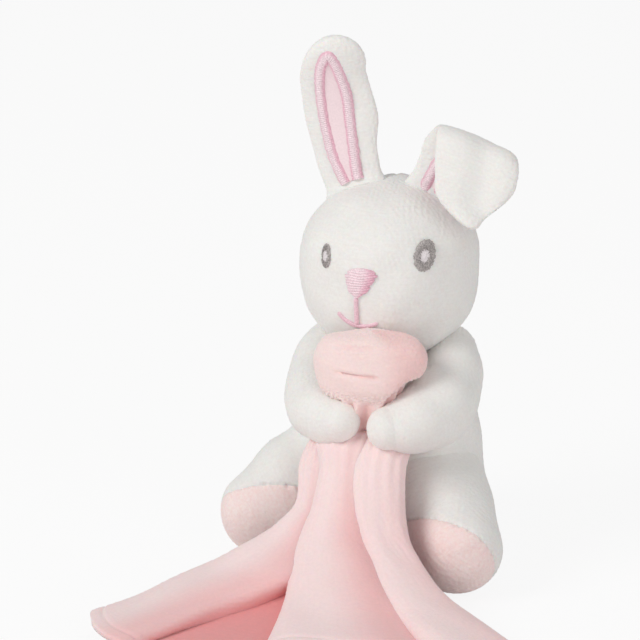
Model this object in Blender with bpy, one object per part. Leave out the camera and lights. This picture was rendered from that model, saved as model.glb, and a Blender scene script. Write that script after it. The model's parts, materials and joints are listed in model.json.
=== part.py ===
"""A seated plush bunny that hugs a small gathered blanket.

Metres, +Z up. The bunny faces -Y, and its left is +X. The origin is the middle of the flat seat.
Every soft form is a turned profile, a swept limb, a bent ear or a draped fan, worked out from the sizes below.
"""
import math

import bmesh
import bpy
import numpy as np
from mathutils import Vector

MM = 0.001

# Cloth and seams
COVER_WALL = 2.0 * MM
SEAM_GAP = 0.3 * MM
CUT_OVERRUN = 1.0 * MM

# Torso: a pear that stands on a flat seat
NECK_HEIGHT = 80.0 * MM
NECK_RADIUS = 16.4 * MM
SEAT_RADIUS = 25.0 * MM
TORSO_HALF_WIDTH = 35.0 * MM
TORSO_HALF_DEPTH = 28.5 * MM
TORSO_LEAN = 3.0 * MM
TORSO_PROFILE_SHARES = ((0.03, 0.84), (0.10, 0.94), (0.24, 1.0), (0.45, 1.0), (0.61, 0.97), (0.74, 0.90),
                        (0.86, 0.77), (0.95, 0.62))

# Head
HEAD_HALF_WIDTH = 32.6 * MM
HEAD_HALF_DEPTH = 31.0 * MM
HEAD_CROWN = 28.8 * MM
HEAD_CHIN = 36.5 * MM
HEAD_RISE = 33.6 * MM
HEAD_CENTRE_HEIGHT = NECK_HEIGHT + HEAD_RISE
CROWN_POWER = 2.2
CHIN_POWER = 2.5

# Legs: a ball at the hip, a taper and a round foot with a pink plush cap over its sole
HIP_RADIUS = 21.5 * MM
HIP_INSET = 3.0 * MM
HIP_LIFT = 3.5 * MM
HIP_GAP = 0.8 * MM
LEFT_HIP_HEADING = 50.0
RIGHT_HIP_HEADING = -64.0
FOOT_CLEARANCE = 0.5 * MM
LEFT_FOOT_RADIUS = 17.0 * MM
RIGHT_FOOT_RADIUS = 15.0 * MM
LEFT_FOOT_PLACE = (36.6 * MM, -38.1 * MM)
RIGHT_FOOT_PLACE = (-43.6 * MM, -21.5 * MM)
LEFT_SOLE_FACING_SHARES = (-0.15, -0.78, -0.61)
RIGHT_SOLE_FACING_SHARES = (0.11, -0.96, -0.25)
LEFT_SOLE_AHEAD = 1.0 * MM
RIGHT_SOLE_AHEAD = 2.9 * MM

# Arms: from the shoulder round the gathered cloth to the paw
ARM_REACH = 44.5 * MM
LEFT_ARM_ROUTE_SHARES = ((0.843, 0.0, 0.98), (0.863, -0.20, 0.931), (0.84, -0.427, 0.838),
                         (0.743, -0.652, 0.785), (0.586, -0.861, 0.768), (0.375, -1.0, 0.775))
RIGHT_ARM_ROUTE_SHARES = ((-0.80, 0.0, 0.944), (-0.771, -0.18, 0.90), (-0.694, -0.404, 0.823),
                          (-0.586, -0.64, 0.779), (-0.371, -0.861, 0.78), (-0.074, -1.0, 0.794))
ARM_RADIUS = 12.3 * MM
LEFT_ARM_RADIUS_SHARES = (0.68, 0.845, 0.975, 1.0, 0.91, 0.64)
RIGHT_ARM_RADIUS_SHARES = (0.76, 0.83, 0.89, 0.88, 0.79, 0.60)

# Ears: one upright, one folded forward
EAR_LENGTH = 54.5 * MM
EAR_HALF_WIDTH = 14.0 * MM
EAR_THICKNESS = 5.0 * MM
EAR_BASE_SHARE = 0.76
EAR_WIDEST_SHARE = 0.60
EAR_SWELL_POWER = 0.9
EAR_TIP_POWER = 2.4
EAR_EDGE_POWER = 0.7
EAR_THIN_TIP_SHARE = 1.15
EAR_ROOT_SHARES = (0.88, 0.5, 0.0)
EAR_ROW_SHARES = (0.1, 0.2, 0.3, 0.42, 0.54, 0.66, 0.77, 0.86, 0.93, 0.975, 0.995)
EAR_SEAT_HEIGHT = 1.5 * MM
LINING_THICKNESS = 1.0 * MM
LINING_MARGIN = 4.5 * MM
LINING_LEAST_SHARE = 0.3
LINING_EDGE_SHARE = 0.4
LINING_EDGE_POWER = 3
RIGHT_EAR_OFFSET = -13.0 * MM
RIGHT_EAR_SEAM_SLOPE = 20.0
RIGHT_EAR_LEAN_SHARE = 0.15
RIGHT_EAR_FLAP_LEAN_SHARE = 0.15
RIGHT_EAR_SPREAD_SHARE = 0.0
RIGHT_EAR_FOLD_AT = 14.0 * MM
RIGHT_EAR_FOLD_RADIUS = 80.0 * MM
RIGHT_EAR_FOLD_ANGLE = 20.0
LEFT_EAR_OFFSET = 17.0 * MM
LEFT_EAR_SEAM_SLOPE = -19.0
LEFT_EAR_LEAN_SHARE = 0.38
LEFT_EAR_FLAP_LEAN_SHARE = 0.29
LEFT_EAR_SPREAD_SHARE = 0.09
LEFT_EAR_FOLD_AT = 17.5 * MM
LEFT_EAR_FOLD_RADIUS = 4.6 * MM
LEFT_EAR_FOLD_ANGLE = 152.0

# Face: embroidered shapes that follow the head
LEFT_EYE_WIDTH = 8.8 * MM
LEFT_EYE_HEIGHT = 11.6 * MM
LEFT_EYE_BAND = 2.6 * MM
RIGHT_EYE_WIDTH = 6.4 * MM
RIGHT_EYE_HEIGHT = 9.4 * MM
RIGHT_EYE_BAND = 1.7 * MM
EYE_RING_SECTION_SHARES = ((-0.5, 0.0), (-0.25, 0.8), (0.25, 0.8), (0.5, 0.0))
EYE_WHITE_SECTION_SHARES = ((0.55, 0.0), (1.0, 0.0), (1.0, 0.35), (0.6, 0.8))
STITCH_RISE = 0.8 * MM
LEFT_EYE_RISE = 7.6 * MM
RIGHT_EYE_RISE = 4.8 * MM
LEFT_EYE_TURN = 39.0
RIGHT_EYE_TURN = -33.0
FACE_LEAN_SHARE = 0.17
NOSE_WIDTH = 13.4 * MM
NOSE_HEIGHT = 10.8 * MM
NOSE_DROP = 2.2 * MM
NOSE_NARROWING_SHARE = 0.34
NOSE_SECTION_SHARES = ((0.5, 0.0), (1.0, 0.0), (1.0, 0.4), (0.85, 1.0), (0.45, 1.5))
NOSE_PEAK_SHARE = 1.6
LINE_WIDTH = 1.6 * MM
LINE_SECTION_SHARES = ((-0.5, 0.0), (-0.3, 0.8), (0.3, 0.8), (0.5, 0.0))
NOSE_LINE_LENGTH = 10.4 * MM
MOUTH_WIDTH = 15.0 * MM
MOUTH_SAG = 4.2 * MM
MOUTH_SHARES = ((-0.48, 1.0), (-0.30, 0.40), (-0.13, 0.08), (0.0, 0.0), (0.17, 0.0), (0.34, 0.14), (0.53, 0.45))

# Tail
TAIL_RADIUS = 11.0 * MM
TAIL_HEIGHT = 20.0 * MM
TAIL_SEAT_SHARE = 0.62

# Blanket: gathered above the paws, then falling in three folds to the floor
GRIP_SIDE = 1.0 * MM
GRIP_BEHIND_PAWS = 13.0 * MM
GRIP_BELOW_PAWS = 6.5 * MM
GRIP_PLACE = (GRIP_SIDE, GRIP_BEHIND_PAWS - ARM_REACH)
GRIP_HEIGHT = LEFT_ARM_ROUTE_SHARES[-1][2] * NECK_HEIGHT - GRIP_BELOW_PAWS
PUFF_HALF_WIDTH = 19.5 * MM
PUFF_HALF_DEPTH = 9.5 * MM
PUFF_RISE = 37.0 * MM
PUFF_FORWARD = 6.5 * MM
PUFF_SIDE = 2.5 * MM
PUFF_PROFILE_SHARES = ((0.0, 0.47, 0.54), (0.17, 0.48, 0.55), (0.31, 0.58, 0.66), (0.39, 0.80, 0.84),
                       (0.47, 0.93, 0.94), (0.61, 1.0, 1.0), (0.76, 0.98, 0.98), (0.90, 0.80, 0.84),
                       (0.975, 0.46, 0.52))
PUFF_CREASE_SHARES = (0.54, 0.84)
PUFF_CREASE_DEPTH_SHARE = 0.13
PUFF_CREASE_WIDTH_SHARE = 0.035
PUFF_SWELL_SHARE = 0.5
PUFF_SWELL_POWER = 1.5
CLOTH_THICKNESS = 3.4 * MM
BUNCH_THICKNESS = 8.0 * MM
BUNCH_END_SHARE = 0.22
FAN_APEX_BACK = 10.5 * MM
DRAPE_REACH = 108.0 * MM
DRAPE_PROFILE_SHARES = ((0.11, 0.998), (0.157, 0.945), (0.204, 0.875), (0.255, 0.785), (0.315, 0.63),
                        (0.361, 0.505), (0.435, 0.345), (0.546, 0.19), (0.657, 0.10), (0.796, 0.062),
                        (1.0, 0.054))
FRONT_LENGTH = 108.0 * MM
CORNER_LENGTH = 136.0 * MM
SIDE_LENGTH = 118.0 * MM
CORNER_HEADING_SHARE = 0.62
FOLD_STATION_SHARES = (0.11, 0.185, 0.25, 0.324, 0.389, 0.463, 0.537, 0.648, 0.787, 1.02, 1.39)
FOLD_HEADINGS = (((-54.0, -50.0, -43.0, -33.5, -35.0, -38.5, -43.5, -47.5, -46.0, -41.0, -39.0),
                  (-47.0, -43.0, -28.5, -22.5, -20.3, -18.0, -16.0, -18.5, -20.0, -20.0, -20.0)),
                 ((-45.5, -41.5, -27.0, -21.0, -18.8, -16.5, -14.0, -10.5, -8.0, -6.0, -5.0),
                  (10.0, 3.5, 3.0, 5.0, 9.0, 15.0, 18.0, 21.0, 23.5, 25.0, 26.0)),
                 ((11.5, 5.0, 4.5, 6.5, 10.3, 16.2, 19.2, 22.5, 25.5, 28.0, 30.0),
                  (46.0, 47.5, 42.0, 35.5, 34.0, 35.5, 38.0, 41.0, 43.0, 44.0, 44.0)))
FOLD_HEIGHT = 13.0 * MM
FOLD_ROUND_SHARE = 0.55
FOLD_FADE_SHARES = (0.75, 1.0, 1.0, 1.0, 0.9, 0.7, 0.5)
LIFT_AHEAD_OF_GRIP = 30.5 * MM
LIFT_BELOW_GRIP = 15.0 * MM
LIFT_PLACE = GRIP_PLACE[1] - LIFT_AHEAD_OF_GRIP
LIFT_HEIGHT = GRIP_HEIGHT - LIFT_BELOW_GRIP

# Resolution of the forms
RING_COUNT = 20
SMALL_RING_COUNT = 14
FOLD_COLUMN_COUNT = 10
DRAPE_ROW_COUNT = 19
DRAPE_SPAN_COUNT = 4
LEG_ARC_COUNT = 7
HEAD_ROW_COUNT = 9
HEAD_INNER_ROW_COUNT = 7
HEAD_STUFFING_ROW_COUNT = 6
FOLD_ROW_COUNT = 6
LINING_COLUMN_COUNT = 7
NOSE_LINE_ROW_COUNT = 5
DOME_SHARES = (0.45, 0.8)


def clear_scene():
    for obj in list(bpy.data.objects):
        bpy.data.objects.remove(obj, do_unlink=True)


def cloth_material(name, colour, roughness=0.9):
    material = bpy.data.materials.new(name)
    material.use_nodes = True
    shader = material.node_tree.nodes["Principled BSDF"]
    shader.inputs["Base Color"].default_value = (*colour, 1.0)
    shader.inputs["Roughness"].default_value = roughness
    shader.inputs["Metallic"].default_value = 0.0
    return material


def curve_through(points, steps):
    """Points of a Catmull-Rom curve through the given points, with so many steps in each span."""
    given = np.array(points, float)
    ends = np.vstack([2 * given[0] - given[1], given, 2 * given[-1] - given[-2]])
    found = []
    for i in range(len(given) - 1):
        before, start, stop, after = ends[i:i + 4]
        for t in np.arange(steps) / steps:
            found.append(0.5 * (2 * start + (stop - before) * t
                                + (2 * before - 5 * start + 4 * stop - after) * t ** 2
                                + (3 * start - before - 3 * stop + after) * t ** 3))
    found.append(given[-1])
    return np.array(found)


def new_object(name, points, faces, material, origin=(0.0, 0.0, 0.0)):
    """A mesh object whose origin stands at the given point, shaded smooth."""
    place = Vector(origin)
    mesh = bpy.data.meshes.new(name)
    mesh.from_pydata([tuple(Vector(p) - place) for p in points], [], faces)
    mesh.update()
    mesh.shade_smooth()
    obj = bpy.data.objects.new(name, mesh)
    obj.location = place
    obj.data.materials.append(material)
    bpy.context.scene.collection.objects.link(obj)
    return obj


def make_cutter(obj):
    obj.hide_render = True
    obj.display_type = "WIRE"
    return obj


def cut(obj, cutter):
    change = obj.modifiers.new("cut by " + cutter.name, "BOOLEAN")
    change.operation = "DIFFERENCE"
    change.object = cutter


def facing_out(points, faces):
    """The faces, turned round if the closed shape that they make is inside out."""
    volume = 0.0
    for face in faces:
        a, b, c = (points[face[i]] for i in (0, 1, 2))
        volume += np.dot(a, np.cross(b, c))
        if len(face) == 4:
            volume += np.dot(a, np.cross(c, points[face[3]]))
        for i in range(3, len(face)):
            if len(face) > 4:
                volume += np.dot(a, np.cross(points[face[i - 1]], points[face[i]]))
    return faces if volume > 0 else [tuple(reversed(face)) for face in faces]


def ringed(rings, first_pole=None, last_pole=None):
    """Points and faces of a closed shape through rings of equal count, each end a pole or a flat face."""
    count = len(rings[0])
    points = [np.array(p) for ring in rings for p in ring]
    faces = []
    for row in range(len(rings) - 1):
        for i in range(count):
            j = (i + 1) % count
            a, b = row * count, (row + 1) * count
            faces.append((a + i, a + j, b + j, b + i))
    last = (len(rings) - 1) * count
    if first_pole is None:
        faces.append(tuple(reversed(range(count))))
    else:
        points.append(np.array(first_pole))
        faces += [((i + 1) % count, i, len(points) - 1) for i in range(count)]
    if last_pole is None:
        faces.append(tuple(range(last, last + count)))
    else:
        points.append(np.array(last_pole))
        faces += [(last + i, last + (i + 1) % count, len(points) - 1) for i in range(count)]
    points = np.array(points)
    centred = points - points.mean(axis=0)
    return points, facing_out(centred, faces)


def turned(profile, place, count):
    """A shape turned from (radius, height) points that begin and end on the axis; place maps (x, y, height)."""
    around = 2 * math.pi * np.arange(count) / count
    rings = [[place(r * math.cos(a), r * math.sin(a), h) for a in around] for r, h in profile[1:-1]]
    return ringed(rings, place(0.0, 0.0, profile[0][1]), place(0.0, 0.0, profile[-1][1]))


def swept(route, radii, count):
    """A round limb along a route, closed by a dome at each end."""
    route = np.array(route)
    ahead = np.gradient(route, axis=0)
    ahead /= np.linalg.norm(ahead, axis=1)[:, None]
    rings = []
    side = np.cross(ahead[0], (0.0, 0.0, 1.0))
    around = 2 * math.pi * np.arange(count) / count

    def ring(centre, direction, radius):
        across = side - direction * side.dot(direction)
        across /= np.linalg.norm(across)
        up = np.cross(across, direction)
        return [centre + radius * (math.cos(a) * across + math.sin(a) * up) for a in around]

    for share in reversed(DOME_SHARES):
        rings.append(ring(route[0] - ahead[0] * radii[0] * share, ahead[0],
                          radii[0] * math.sqrt(1 - share ** 2)))
    for centre, direction, radius in zip(route, ahead, radii):
        side = side - direction * side.dot(direction)
        rings.append(ring(centre, direction, radius))
    for share in DOME_SHARES:
        rings.append(ring(route[-1] + ahead[-1] * radii[-1] * share, ahead[-1],
                          radii[-1] * math.sqrt(1 - share ** 2)))
    return ringed(rings, route[0] - ahead[0] * radii[0], route[-1] + ahead[-1] * radii[-1])


def ball(centre, radius, count=RING_COUNT):
    """A round ball whose poles are above and below."""
    angles = np.linspace(-math.pi / 2, math.pi / 2, count // 2 + 1)
    profile = [(radius * math.cos(a), radius * math.sin(a)) for a in angles]
    return turned(profile, lambda x, y, z: (centre[0] + x, centre[1] + y, centre[2] + z), count)


# Torso

def torso_profile(inset):
    """(radius, height) of the torso from seat to neck, drawn in by the inset."""
    top = NECK_HEIGHT - SEAM_GAP
    shares = [(h * top, w * TORSO_HALF_WIDTH) for h, w in TORSO_PROFILE_SHARES]
    outline = [(0.0, SEAT_RADIUS)] + shares + [(top, NECK_RADIUS)]
    smooth = curve_through(outline, 1 if inset else 2)
    return [(width - inset, height) for height, width in smooth if inset <= height]


def torso_place(x, y, z):
    return (x, y * TORSO_HALF_DEPTH / TORSO_HALF_WIDTH - TORSO_LEAN * z / NECK_HEIGHT, z)


def torso_solid(inset, rise):
    """The torso drawn in by the inset, with its top raised by the rise."""
    profile = torso_profile(inset)
    ends = [(0.0, inset), (profile[0][0], inset)] + profile[1:-1]
    ends += [(profile[-1][0], profile[-1][1] + rise), (0.0, profile[-1][1] + rise)]
    return turned(ends, torso_place, RING_COUNT)


def hip_place(heading):
    """The hip's ball centre: inside the torso's side, at a heading from straight ahead."""
    x = math.sin(math.radians(heading))
    y = -math.cos(math.radians(heading))
    reach = 1 / math.hypot(x / TORSO_HALF_WIDTH, y / TORSO_HALF_DEPTH) - HIP_INSET
    return Vector((x * reach, y * reach, HIP_RADIUS + HIP_LIFT))


def torso_press(name, material):
    """A cutter a seam gap larger than the torso, for what lies against it."""
    press = make_cutter(new_object(name, *torso_solid(0.0, 0.0), material))
    press.scale = Vector((1.0, 1.0, 1.0)) * (1 + SEAM_GAP / NECK_RADIUS)
    return press


def make_torso(plush, filling):
    hips = [hip_place(LEFT_HIP_HEADING), hip_place(RIGHT_HIP_HEADING)]
    cover = new_object("body_cover", *torso_solid(0.0, 0.0), plush)
    hollow = make_cutter(new_object("body_hollow", *torso_solid(COVER_WALL, CUT_OVERRUN), filling))
    inset = COVER_WALL + SEAM_GAP
    stuffing = new_object("body_stuffing", *torso_solid(inset, -SEAM_GAP), filling)
    for obj, extra in ((cover, HIP_GAP), (hollow, HIP_GAP + COVER_WALL), (stuffing, HIP_GAP + inset)):
        for number, hip in enumerate(hips):
            name = f"{obj.name}_hip_cut_{number}"
            cut(obj, make_cutter(new_object(name, *ball(hip, HIP_RADIUS + extra), filling)))
    cut(cover, hollow)


# Legs

def leg_solid(name, hip, foot, foot_radius, inset, count, material):
    """A closed leg drawn in by the inset: a dome at the hip, a taper and a dome at the foot."""
    along = foot - hip
    length = along.length
    along.normalize()
    across = along.cross(Vector((0.0, 0.0, 1.0))).normalized()
    up = across.cross(along)
    arc = np.linspace(0, math.pi / 2, LEG_ARC_COUNT)
    near, far = HIP_RADIUS - inset, foot_radius - inset
    profile = [(near * math.sin(a), -near * math.cos(a)) for a in arc]
    profile += [(far * math.cos(a), length + far * math.sin(a)) for a in arc]
    profile[-1] = (0.0, length + far)

    def place(x, y, distance):
        return tuple(hip + across * x + up * y + along * distance)

    return new_object(name, *turned(profile, place, count), material, hip)


def half_space(name, point, direction, reach, material):
    """A cutter that takes all on one side of a plane, out to a reach."""
    across = direction.orthogonal().normalized()
    up = direction.cross(across)

    def place(x, y, distance):
        return tuple(point + across * x + up * y + direction * distance)

    block = [(0.0, 0.0), (reach, 0.0), (reach, reach), (0.0, reach)]
    return make_cutter(new_object(name, *turned(block, place, RING_COUNT), material))


def make_leg(side, heading, foot_place, foot_radius, sole, materials):
    """A leg whose cover ends at a plane across the foot, and the pink cap that goes on from there."""
    facing_shares, ahead = sole
    plush, pink, filling = materials
    hip = hip_place(heading)
    foot = Vector((*foot_place, foot_radius + FOOT_CLEARANCE))
    facing = Vector(facing_shares).normalized()
    seam = foot + facing * ahead
    reach = 2 * ((foot - hip).length + HIP_RADIUS)
    ends = (hip, foot, foot_radius)
    cover = leg_solid(f"{side}_leg_cover", *ends, 0.0, RING_COUNT, plush)
    cap = leg_solid(f"{side}_foot_cap", *ends, 0.0, RING_COUNT, pink)
    hollow = make_cutter(leg_solid(f"{side}_leg_hollow", *ends, COVER_WALL, RING_COUNT, filling))
    cut(cover, half_space(f"{side}_sole_side", seam - facing * SEAM_GAP / 2, facing, reach, filling))
    cut(cap, half_space(f"{side}_leg_side", seam + facing * SEAM_GAP / 2, -facing, reach, filling))
    for obj in (cover, cap):
        cut(obj, hollow)
    leg_solid(f"{side}_leg_stuffing", *ends, COVER_WALL + SEAM_GAP, SMALL_RING_COUNT, filling)


# Arms

def arm_solid(name, route_shares, radius_shares, inset, material):
    """A closed arm drawn in by the inset."""
    scale = np.array((TORSO_HALF_WIDTH, ARM_REACH, NECK_HEIGHT))
    path = curve_through(np.array(route_shares) * scale, 2)
    radii = curve_through([(share * ARM_RADIUS,) for share in radius_shares], 2)[:, 0] - inset
    return new_object(name, *swept(path, radii, SMALL_RING_COUNT), material)


def make_arm(side, route_shares, radius_shares, plush, filling):
    """One arm's cover and stuffing, and the cutter that presses it into the gathered cloth."""
    shares = (route_shares, radius_shares)
    cover = arm_solid(f"{side}_arm_cover", *shares, 0.0, plush)
    hollow = make_cutter(arm_solid(f"{side}_arm_hollow", *shares, COVER_WALL, filling))
    stuffing = arm_solid(f"{side}_arm_stuffing", *shares, COVER_WALL + SEAM_GAP, filling)
    armhole = torso_press(f"{side}_armhole", filling)
    cut(cover, hollow)
    for obj in (cover, stuffing):
        cut(obj, armhole)
    return make_cutter(arm_solid(f"{side}_arm_press", *shares, -SEAM_GAP, plush))


# Head

def head_radius(height, inset=0.0):
    """The head's half-width at a height above its centre."""
    reach = (HEAD_CROWN if height > 0 else HEAD_CHIN) - inset
    power = CROWN_POWER if height > 0 else CHIN_POWER
    share = min(abs(height) / reach, 1.0)
    return (HEAD_HALF_WIDTH - inset) * (1 - share ** power) ** (1 / power)


def head_place(x, y, height):
    return (x, y * HEAD_HALF_DEPTH / HEAD_HALF_WIDTH - TORSO_LEAN, HEAD_CENTRE_HEIGHT + height)


def head_profile(inset, steps):
    """(radius, height) from just under the crown down to the neck opening."""
    neck = NECK_HEIGHT - HEAD_CENTRE_HEIGHT
    heights = [(HEAD_CROWN - inset) * math.cos(a) for a in np.linspace(0, math.pi / 2, steps)[1:]]
    heights += [neck * math.sin(a) for a in np.linspace(0, math.pi / 2, steps)[1:]]
    return [(head_radius(h, inset), h) for h in heights]


def face_point(x, z, rise=0.0):
    """The point on the front of the head at x and height z above its centre, raised along its normal."""

    def depth(px, pz):
        return -math.sqrt(max(head_radius(pz) ** 2 - px ** 2, 0.0)) * HEAD_HALF_DEPTH / HEAD_HALF_WIDTH

    step = COVER_WALL / 4
    slope_x = (depth(x + step, z) - depth(x - step, z)) / (2 * step)
    slope_z = (depth(x, z + step) - depth(x, z - step)) / (2 * step)
    normal = Vector((slope_x, -1.0, slope_z)).normalized()
    return Vector((x, depth(x, z) - TORSO_LEAN, HEAD_CENTRE_HEIGHT + z)) + normal * rise


def ear_seat(offset):
    """The middle of an ear's seam, above the head at its widest section."""
    height = HEAD_CROWN * (1 - (abs(offset) / HEAD_HALF_WIDTH) ** CROWN_POWER) ** (1 / CROWN_POWER)
    return Vector((offset, -TORSO_LEAN, HEAD_CENTRE_HEIGHT + height))


def ear_frame(offset, seam_slope):
    """The seam's middle on its hinge axis, the seam's direction, and the ear's rise from it."""
    slope = math.radians(seam_slope)
    across = Vector((math.cos(slope), 0.0, math.sin(slope)))
    rise = Vector((-math.sin(slope), 0.0, math.cos(slope)))
    return ear_seat(offset) + rise * EAR_SEAT_HEIGHT, across, rise


def make_head(plush, filling):
    outer = head_profile(0.0, HEAD_ROW_COUNT)
    inner = head_profile(COVER_WALL, HEAD_INNER_ROW_COUNT)
    shell = [(0.0, HEAD_CROWN)] + outer + inner[::-1] + [(0.0, HEAD_CROWN - COVER_WALL)]
    axis = (0.0, -TORSO_LEAN, NECK_HEIGHT)
    cover = new_object("head_cover", *turned(shell, head_place, RING_COUNT), plush, axis)
    for side, offset, slope in (("right", RIGHT_EAR_OFFSET, RIGHT_EAR_SEAM_SLOPE),
                                ("left", LEFT_EAR_OFFSET, LEFT_EAR_SEAM_SLOPE)):
        middle, across, rise = ear_frame(offset, slope)
        forward = across.cross(rise)
        radius = EAR_THICKNESS / 2 + SEAM_GAP
        half = EAR_HALF_WIDTH * EAR_BASE_SHARE + CUT_OVERRUN

        def place(x, y, distance):
            return tuple(middle + rise * x + forward * y + across * distance)

        groove = [(0.0, -half), (radius, -half), (radius, half), (0.0, half)]
        cut(cover, make_cutter(new_object(f"{side}_ear_groove", *turned(groove, place, RING_COUNT), filling)))
    inset = COVER_WALL + SEAM_GAP
    core = head_profile(inset, HEAD_STUFFING_ROW_COUNT)
    core = [(0.0, HEAD_CROWN - inset)] + core[:-1] + [(core[-1][0], core[-1][1] + SEAM_GAP)]
    core.append((0.0, core[-1][1]))
    new_object("head_stuffing", *turned(core, head_place, RING_COUNT), filling, axis)


# Ears

def ear_half_width(share):
    """The ear's half-width at a share of its length: a swelling side, then a round tip."""
    swell = math.sin(math.pi / 2 * min(share / EAR_WIDEST_SHARE, 1.0)) ** EAR_SWELL_POWER
    side = EAR_HALF_WIDTH * (EAR_BASE_SHARE + (1 - EAR_BASE_SHARE) * swell)
    tip = max(share - EAR_WIDEST_SHARE, 0.0) / (1 - EAR_WIDEST_SHARE)
    return side * math.sqrt(1 - tip ** EAR_TIP_POWER)


def ear_map(offset, seam_slope, lean_shares, fold):
    """A function from flat ear sizes (along, across, out of the front) to a place on the bunny.

    A folded ear runs straight to the fold, turns forward on a round and runs straight again.
    The lean shares are the root's and the flap's side steps for their length, and the flap's spread.
    """
    middle, across_axis, rise_axis = ear_frame(offset, seam_slope)
    front_axis = Vector((0.0, -1.0, 0.0))

    def place(along, across, front):
        over = along - fold[0]
        turn = min(max(over / fold[1], 0.0), fold[2])
        straight = over - fold[1] * turn
        rise = fold[0] + fold[1] * math.sin(turn) + straight * math.cos(turn) - front * math.sin(turn)
        forward = fold[1] * (1 - math.cos(turn)) + straight * math.sin(turn) + front * math.cos(turn)
        root = min(max(along, 0.0), fold[0] + fold[1] * fold[2])
        spread = 1 + lean_shares[2] * turn / fold[2]
        side = across * spread + lean_shares[0] * root + lean_shares[1] * (max(along, 0.0) - root)
        return np.array(middle + rise_axis * rise + across_axis * side + front_axis * forward)

    return place


def ear_rows(fold):
    """Distances along the ear for its rows, closer together round the fold."""
    rows = [EAR_LENGTH * share for share in EAR_ROW_SHARES]
    bend = fold[1] * fold[2]
    if fold[1] < EAR_LENGTH / 2:
        rows = [r for r in rows if not fold[0] - EAR_THICKNESS / 4 < r < fold[0] + bend + EAR_THICKNESS / 4]
        rows += [fold[0] + bend * i / FOLD_ROW_COUNT for i in range(FOLD_ROW_COUNT + 1)]
    return sorted(rows)


def ear_front(across, half):
    """How far the ear's front stands out of its middle plane."""
    return EAR_THICKNESS / 2 * math.sqrt(max(1 - (across / half) ** 2, 0.0)) ** EAR_EDGE_POWER


def make_ear(side, offset, seam_slope, lean_shares, fold, plush, pink):
    place = ear_map(offset, seam_slope, lean_shares, fold)
    middle = ear_frame(offset, seam_slope)[0]
    around = 2 * math.pi * np.arange(SMALL_RING_COUNT) / SMALL_RING_COUNT
    base = EAR_THICKNESS / 2
    rings = []

    def ring(along, half, thin):
        sides = [(half * math.cos(a), math.copysign(thin, math.sin(a))) for a in around]
        return [place(along, side, thick * ear_front(side, half)) for side, thick in sides]

    for drop in EAR_ROOT_SHARES:
        rings.append(ring(-base * drop, ear_half_width(0.0), math.sqrt(1 - drop ** 2)))
    for along in ear_rows(fold):
        half = ear_half_width(along / EAR_LENGTH)
        rings.append(ring(along, half, min(1.0, math.sqrt(half / EAR_HALF_WIDTH) * EAR_THIN_TIP_SHARE)))
    new_object(f"{side}_ear", *ringed(rings, None, place(EAR_LENGTH, 0.0, 0.0)), plush, middle)

    first, last = LINING_MARGIN, EAR_LENGTH - LINING_MARGIN
    rows = [first] + [r for r in ear_rows(fold) if first + SEAM_GAP < r < last - LINING_THICKNESS] + [last]
    rings = []
    for along in rows:
        half = ear_half_width(along / EAR_LENGTH)
        wide = max(half - LINING_MARGIN, half * LINING_LEAST_SHARE)
        under = []
        over = []
        for s in np.linspace(-1.0, 1.0, LINING_COLUMN_COUNT):
            front = ear_front(wide * s, half) + SEAM_GAP
            swell = 1 - (1 - LINING_EDGE_SHARE) * abs(s) ** LINING_EDGE_POWER
            under.append(place(along, wide * s, front))
            over.append(place(along, wide * s, front + LINING_THICKNESS * swell))
        rings.append(under + over[::-1])
    new_object(f"{side}_ear_lining", *ringed(rings), pink, middle)


# Face

def make_eye(side, seat, size, grey, white):
    """An embroidered oval band and its filled middle, both following the head."""
    turn, rise = seat
    width, height, band = size
    x = head_radius(rise) * math.sin(math.radians(turn))
    around = 2 * math.pi * np.arange(RING_COUNT) / RING_COUNT
    squeeze = math.cos(math.radians(turn))

    def raised(out_width, out_height, angle, up):
        side = out_width * math.cos(angle) * squeeze
        return np.array(face_point(x + side, rise + out_height * math.sin(angle), SEAM_GAP + STITCH_RISE * up))

    points = [raised((width - band) / 2 + band * out, (height - band) / 2 + band * out, a, up)
              for a in around for out, up in EYE_RING_SECTION_SHARES]
    faces = []
    count = len(EYE_RING_SECTION_SHARES)
    for i in range(len(around)):
        j = (i + 1) % len(around)
        for k in range(count):
            m = (k + 1) % count
            faces.append((i * count + k, j * count + k, j * count + m, i * count + m))
    points = np.array(points)
    new_object(f"{side}_eye_ring", points, facing_out(points - points.mean(axis=0), faces), grey)

    inner = band + SEAM_GAP
    rings = [[raised((width / 2 - inner) * share, (height / 2 - inner) * share, a, up) for a in around[::2]]
             for share, up in EYE_WHITE_SECTION_SHARES]
    low = np.array(face_point(x, rise, SEAM_GAP))
    high = np.array(face_point(x, rise, SEAM_GAP + STITCH_RISE))
    new_object(f"{side}_eye_white", *ringed(rings, low, high), white)


def face_side(z):
    """How far the middle line of the face has moved to one side at height z above the head's centre."""
    return FACE_LEAN_SHARE * z


def make_nose(pink):
    """A rounded triangle of satin stitch, broad at the top."""
    around = 2 * math.pi * np.arange(RING_COUNT) / RING_COUNT
    outline = []
    for a in around:
        narrow = 1 - NOSE_NARROWING_SHARE * (1 - math.sin(a))
        outline.append((NOSE_WIDTH / 2 * math.cos(a) * narrow, NOSE_HEIGHT / 2 * math.sin(a)))
    middle = face_side(-NOSE_DROP)
    rings = []
    for share, up in NOSE_SECTION_SHARES:
        out = SEAM_GAP + STITCH_RISE * up
        rings.append([np.array(face_point(middle + x * share, z * share - NOSE_DROP, out)) for x, z in outline])
    low = np.array(face_point(middle, -NOSE_DROP, SEAM_GAP))
    high = np.array(face_point(middle, -NOSE_DROP, SEAM_GAP + STITCH_RISE * NOSE_PEAK_SHARE))
    new_object("nose", *ringed(rings, low, high), pink)


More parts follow.
